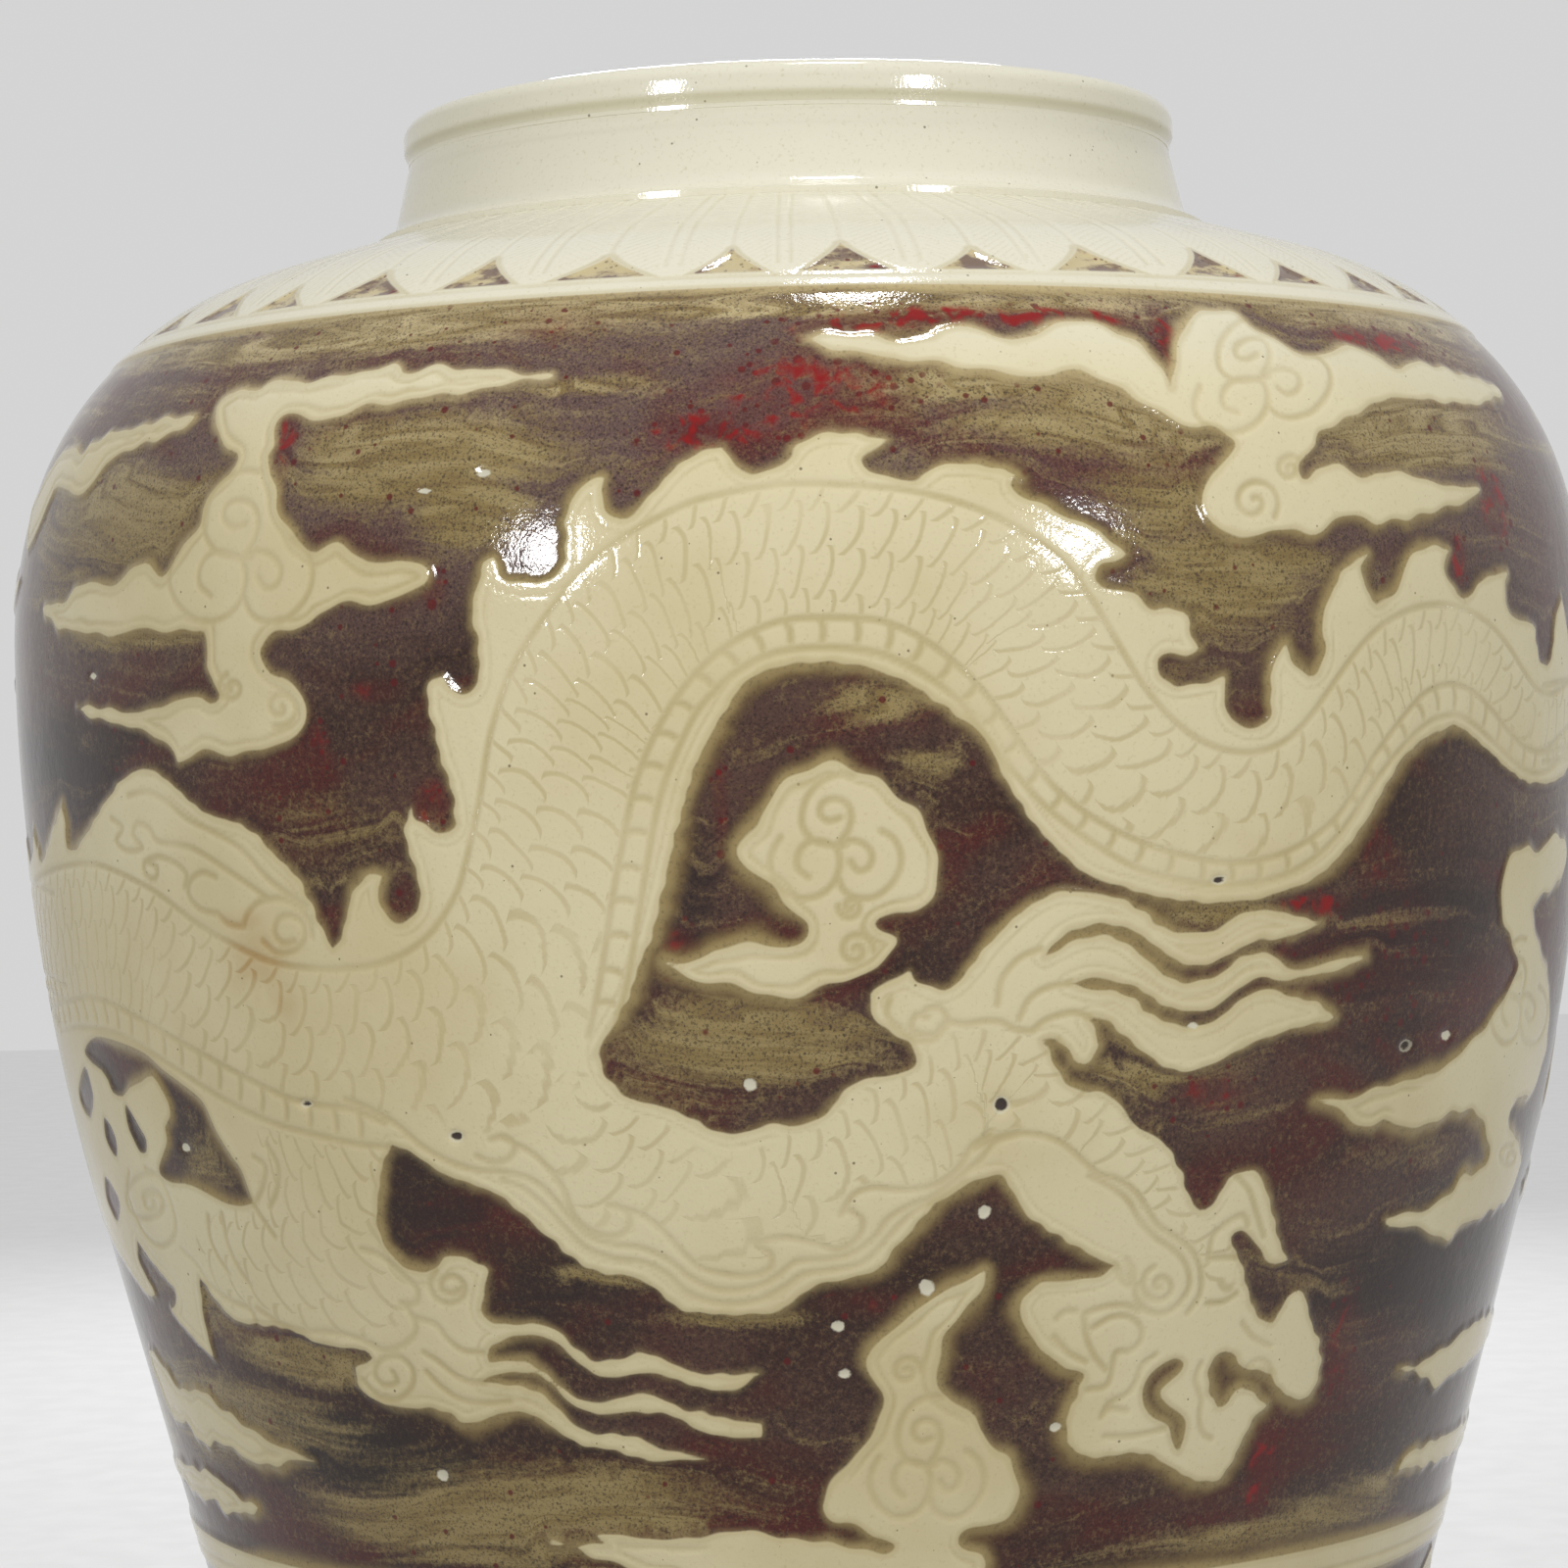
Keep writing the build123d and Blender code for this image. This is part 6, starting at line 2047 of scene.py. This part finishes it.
def paint_edge(shader, high, reserve):
    """How far the paint covers the ground, and the colour of the glaze left bare round the shapes."""
    ragged = shader.noise(shader.place, 60.0, 4.0, 0.65)
    broad = shader.noise(shader.place, 13.0, 2.0, 0.5)
    narrow = shader.fade(high, *HALO_NARROWS, 1.0, 0.45)
    reach = shader.times(shader.fade(broad, 0.38, 0.66, -2.0, 2.8), narrow)
    gap = shader.plus(shader.times(ragged, 2.6), reach)
    deepness = shader.times(reserve, -1.0)
    beyond = shader.less(deepness, gap)
    painted = shader.fade(beyond, -2.0, 2.8)
    rim = shader.fade(beyond, 0.2, 3.4, 0.2, 0.0)
    # the bare glaze round the shapes is paler towards the shoulder, a painted light
    top = shader.fade(high, *PAINTED_LIGHT_PALE_TOP)
    near = shader.mix(top, OLIVE_PALE, OLIVE_PAINTED_LIGHT)
    far = shader.mix(top, HALO, OLIVE_PALE)
    bare = shader.mix(shader.fade(deepness, 0.2, 4.2), near, far)
    grain = shader.noise(shader.place, 900.0, 2.0, 0.6)
    bare = shader.mix(shader.fade(grain, 0.5, 0.75, 0.0, 0.3), bare, BLACKISH)
    return painted, rim, bare


def bright_copper(shader, high):
    """Where the copper fired bright red: runs, clots and dots."""
    red = shader.field("red")
    clots = shader.noise(shader.place, 170.0, 2.5, 0.55, 0.5)
    run = shader.plus(red, shader.times(shader.less(clots, 0.5), 1.8))
    bright = shader.times(shader.fade(run, 0.5, 1.1), shader.fade(red, 0.1, 0.4))
    often = shader.fade(high, *MORE_FLECKS, 0.14, 0.4)
    flecks = shader.dots(215.0, 0.22, often)
    crowd = shader.times(shader.dots(260.0, 0.36, 0.7), shader.fade(red, 0.05, 0.35))
    flecks = shader.sum("MAXIMUM", flecks, crowd)
    bright = shader.sum("MAXIMUM", bright, shader.times(flecks, 0.85))
    bright = shader.sum("MAXIMUM", bright, shader.fade(red, 0.12, 0.95, 0.0, 0.45))
    glow = shader.times(shader.fade(clots, 0.44, 0.6), shader.fade(red, 0.3, 0.75))
    return bright, shader.mix(glow, RED_DEEP, RED)


def brush_place(shader, reserve, axes):
    """The brush went round the jar, swaying, and followed the shapes near them."""
    x, y, high = axes
    near = shader.fade(reserve, -9.0, -2.0)
    sway = shader.times(shader.less(shader.noise(shader.place, 5.0, 2.0), 0.5), BRUSH_SWAY)
    follow = shader.times(near, shader.times(reserve, BRUSH_FOLLOW))
    shifted = shader.make("ShaderNodeCombineXYZ")
    shader.put(shifted.inputs["X"], x)
    shader.put(shifted.inputs["Y"], y)
    shader.put(shifted.inputs["Z"], shader.plus(high, shader.plus(sway, follow)))
    return shifted.outputs[0]


def crown_paint(shader):
    """The triangles between the petals of the shoulder are painted thinly, with mauve blots."""
    blots = shader.fade(shader.noise(shader.stretched(60.0, 160.0), 1.2, 4.0, 0.6), 0.44, 0.58, 0.0, 0.9)
    return shader.mix(blots, TENT, MAUVE)


def with_flaws(shader, colour):
    """The glaze's colour with its white pits, and chips that show dark clay."""
    rough_edge = shader.times(shader.less(shader.noise(shader.place, 420.0, 2.0, 0.6), 0.5), 0.6)
    pit = shader.plus(shader.field("pit"), rough_edge)
    colour = shader.mix(shader.fade(pit, 0.5, 0.8), colour, WHITE_PIT)
    flaw = shader.plus(shader.field("chip"), rough_edge)
    colour = shader.mix(shader.fade(flaw, 0.3, 0.5, 0.0, 0.5), colour, WHITE_PIT)
    return shader.mix(shader.fade(flaw, 0.6, 0.85), colour, CLAY_DARK)


def painted_glaze():
    """The body's glaze: cream on the carved shapes, copper painting on the ground between them."""
    shader = Shader("painted_glaze")
    reserve = shader.field("reserve")
    axes = shader.axes()
    high = axes[2]
    scales = scale_lines(shader)
    cream = carved_cream(shader, high, scales)
    ground = brushed_ground(shader, brush_place(shader, reserve, axes), high)
    crown = shader.fade(high, *CROWN_PAINT)
    ground = shader.mix(shader.times(crown, 0.9), ground, crown_paint(shader))
    painted, rim, bare = paint_edge(shader, high, reserve)
    painted = shader.sum("MAXIMUM", painted, crown)
    ground = shader.mix(shader.times(painted, shader.times(rim, shader.less(1.0, crown))), ground, BLACKISH)
    ground = shader.mix(shader.less(1.0, painted), ground, bare)
    speckle = shader.sum("MAXIMUM", shader.dots(760.0, 0.36, 0.5), shader.dots(430.0, 0.24, 0.14))
    ground = shader.mix(shader.times(speckle, shader.fade(painted, 0.0, 1.0, 0.15, 0.5)), ground, BLACKISH)
    bright, red_colour = bright_copper(shader, high)
    ground = shader.mix(shader.times(bright, painted), ground, red_colour)

    colour = shader.mix(shader.fade(reserve, -0.35, 0.45), ground, cream)
    pooled = shader.times(shader.fade(reserve, -0.2, 0.5), shader.fade(reserve, 0.5, 2.2, 1.0, 0.0))
    colour = shader.mix(shader.times(pooled, 0.4), colour, CREAM_LINE)
    colour = with_flaws(shader, colour)
    broken = shader.times(shader.fade(shader.field("chip"), 0.3, 0.6), 0.5)
    rough = shader.plus(gloss(shader, 0.07, 0.13), broken)
    bump = shader.less(glaze_bump(shader), shader.times(scales, SCALE_BUMP))
    return shader.finish(colour, rough, bump, PAINTED_BUMP)


def cream_glaze():
    """The plain cream glaze of the neck and the lip, with painted shade in the groove under the lip's bead.
    """
    shader = Shader("cream_glaze")
    high = shader.axes()[2]
    cool = shader.fade(high, *NECK_COOL, 0.8, 1.0)
    colour = cream_colour(shader, cool)
    # painted shade: a darker band in the groove under the lip's bead
    under = shader.fade(high, *GROOVE_SHADE_LOW, 0.0, 1.0)
    over = shader.fade(high, *GROOVE_SHADE_HIGH, 1.0, 0.0)
    groove_shade = shader.times(shader.times(under, over), 0.55)
    colour = shader.mix(groove_shade, colour, GROOVE_SHADE)
    band = shader.noise(shader.stretched(3.0, 150.0), 1.2, 3.0, 0.5)
    colour = shader.mix(shader.fade(band, 0.55, 0.8, 0.0, 0.3), colour, TURNED_BAND)
    return shader.finish(colour, gloss(shader, 0.06, 0.11), glaze_bump(shader), PLAIN_BUMP)


def bare_clay():
    """Unglazed fired clay of the foot and base, with rust-coloured patches and grit."""
    shader = Shader("bare_clay")
    broad = shader.noise(shader.place, 14.0, 4.0, 0.6)
    colour = shader.mix(shader.fade(broad, 0.38, 0.62), CLAY, CLAY_RED)
    grit = shader.dots(260.0, 0.28, 0.22)
    colour = shader.mix(shader.times(grit, 0.7), colour, CLAY_DARK)
    sand = shader.noise(shader.place, 420.0, 4.0, 0.7)
    colour = shader.mix(shader.fade(sand, 0.5, 0.75, 0.0, 0.4), colour, CLAY_SAND)
    bump = shader.plus(shader.times(sand, 0.6), shader.times(grit, -0.8))
    return shader.finish(colour, shader.fade(sand, 0.3, 0.7, 0.75, 0.92), bump, CLAY_BUMP)


def build_jar():
    painted = painted_glaze()
    plain = cream_glaze()
    clay = bare_clay()
    pour(wall_section("lower_wall_body", None, LOWER_JOINT), painted, "lower_wall")
    pour(wall_section("belly_wall_body", LOWER_JOINT, BELLY_JOINT), painted, "belly_wall")
    pour(wall_section("shoulder_wall_body", BELLY_JOINT, None), painted, "shoulder_wall")
    pour(joint_slip("lower_joint_slip_ring", LOWER_JOINT), painted, "lower_joint_slip")
    pour(joint_slip("belly_joint_slip_ring", BELLY_JOINT), painted, "belly_joint_slip")
    pour(plain_ring("neck_ring", neck_outline(), wobble=0.35, seed=31), plain, "neck_collar")
    pour(plain_ring("lip_ring", lip_outline(), wobble=0.3, seed=32), plain, "lip_roll")
    slips = slip_outlines()
    for node, outline in slips.items():
        glaze = plain if node in ("neck_slip", "lip_slip") else clay
        pour(plain_ring(node + "_ring", fine(outline, 4.0)), glaze, node)
    pour(plain_ring("foot_ring_body", foot_outline(), wobble=0.4, seed=33), clay, "foot_ring")
    pour(base_slab("base_slab_body"), clay, "base_slab")


# The room: a pale floor, a light to each side of the camera, one above the mouth and one behind
FLOOR_SIZE = 9.0
WHITE = (1.0, 1.0, 1.0, 1.0)
FLOOR_COLOUR = (0.3, 0.3, 0.3, 1.0)
FLOOR_GRAIN = (0.28, 0.28, 0.28, 1.0)
FLOOR_GLOW = 0.44
AREA_LIGHTS = [
    # name, place, aimed at, width, height, watts
    ("left_key", (-0.91, -1.40, 0.80), (0.0, 0.0, 0.38), 0.2, 0.24, 9.2),
    ("right_key", (0.99, -1.35, 0.79), (0.0, 0.0, 0.38), 0.2, 0.22, 9.2),
    ("top_key", (0.14, -0.02, 1.96), (0.0, 0.0, 0.45), 0.25, 0.2, 8.0),
    ("back_key", (0.0, 1.7, 0.95), (0.0, 0.0, 0.35), 0.35, 0.35, 17.0),
]
ROOM_LIGHT = 0.36
BACKDROP_LIGHT = 0.66


def seen_directly(nodes, links):
    """1 where the camera, a mirror or a glass looks, 0 for the light that falls on the jar."""
    paths = nodes.new("ShaderNodeLightPath")
    seen = nodes.new("ShaderNodeMath")
    seen.operation = "MAXIMUM"
    mirrored = nodes.new("ShaderNodeMath")
    mirrored.operation = "MAXIMUM"
    links.new(paths.outputs["Is Glossy Ray"], mirrored.inputs[0])
    links.new(paths.outputs["Is Transmission Ray"], mirrored.inputs[1])
    links.new(paths.outputs["Is Camera Ray"], seen.inputs[0])
    links.new(mirrored.outputs[0], seen.inputs[1])
    return seen.outputs[0]


def glow_where_seen(shader):
    """Makes the floor as white as the backdrop to the eye, with no more light on the jar."""
    out = next(node for node in shader.nodes if node.type == "OUTPUT_MATERIAL")
    paper = out.inputs["Surface"].links[0].from_socket
    glow = shader.make("ShaderNodeEmission")
    glow.inputs["Color"].default_value = WHITE
    shader.put(glow.inputs["Strength"], shader.times(seen_directly(shader.nodes, shader.links), FLOOR_GLOW))
    both = shader.make("ShaderNodeAddShader")
    shader.links.new(paper, both.inputs[0])
    shader.links.new(glow.outputs[0], both.inputs[1])
    shader.links.new(both.outputs[0], out.inputs["Surface"])


def add_floor():
    mesh = bpy.data.meshes.new("floor")
    half = FLOOR_SIZE / 2
    corners = [(-half, -half, 0.0), (half, -half, 0.0), (half, half, 0.0), (-half, half, 0.0)]
    mesh.from_pydata(corners, [], [(0, 1, 2, 3)])
    floor = bpy.data.objects.new("floor", mesh)
    bpy.context.collection.objects.link(floor)
    shader = Shader("floor_paper")
    grain = shader.noise(shader.place, 40.0, 2.0, 0.5)
    colour = shader.mix(shader.fade(grain, 0.3, 0.7), FLOOR_COLOUR, FLOOR_GRAIN)
    paper = shader.finish(colour, shader.fade(grain, 0.3, 0.7, 0.85, 0.95))
    glow_where_seen(shader)
    floor.data.materials.append(paper)


def add_lights():
    for name, place, target, width, tall, watts in AREA_LIGHTS:
        lamp = bpy.data.lights.new(name, "AREA")
        lamp.shape = "RECTANGLE"
        lamp.size = width
        lamp.size_y = tall
        lamp.energy = watts
        light = bpy.data.objects.new(name, lamp)
        light.location = place
        light.rotation_euler = (Vector(target) - Vector(place)).to_track_quat("-Z", "Y").to_euler()
        bpy.context.collection.objects.link(light)


def add_world():
    """Soft white light from all round; the backdrop itself shows plain white."""
    world = bpy.data.worlds.new("room")
    world.use_nodes = True
    nodes, links = world.node_tree.nodes, world.node_tree.links
    nodes.clear()
    out = nodes.new("ShaderNodeOutputWorld")
    choose = nodes.new("ShaderNodeMixShader")
    links.new(seen_directly(nodes, links), choose.inputs[0])
    for place, strength in ((1, ROOM_LIGHT), (2, BACKDROP_LIGHT)):
        light = nodes.new("ShaderNodeBackground")
        light.inputs["Color"].default_value = WHITE
        light.inputs["Strength"].default_value = strength
        links.new(light.outputs[0], choose.inputs[place])
    links.new(choose.outputs[0], out.inputs["Surface"])
    bpy.context.scene.world = world


def add_camera():
    camera = bpy.data.cameras.new("camera")
    camera.sensor_width = SENSOR
    camera.lens = SENSOR * CAMERA_PIXELS / PHOTO_SIZE
    camera.clip_start = 0.05
    eye = bpy.data.objects.new("camera", camera)
    eye.location = (CAMERA_X * MM, -CAMERA_DISTANCE * MM, CAMERA_HEIGHT * MM)
    eye.rotation_euler = (math.pi / 2, CAMERA_ROLL, 0.0)
    bpy.context.collection.objects.link(eye)
    bpy.context.scene.camera = eye


build_jar()
add_floor()
add_lights()
add_world()
add_camera()
bpy.context.scene.view_settings.view_transform = "Standard"
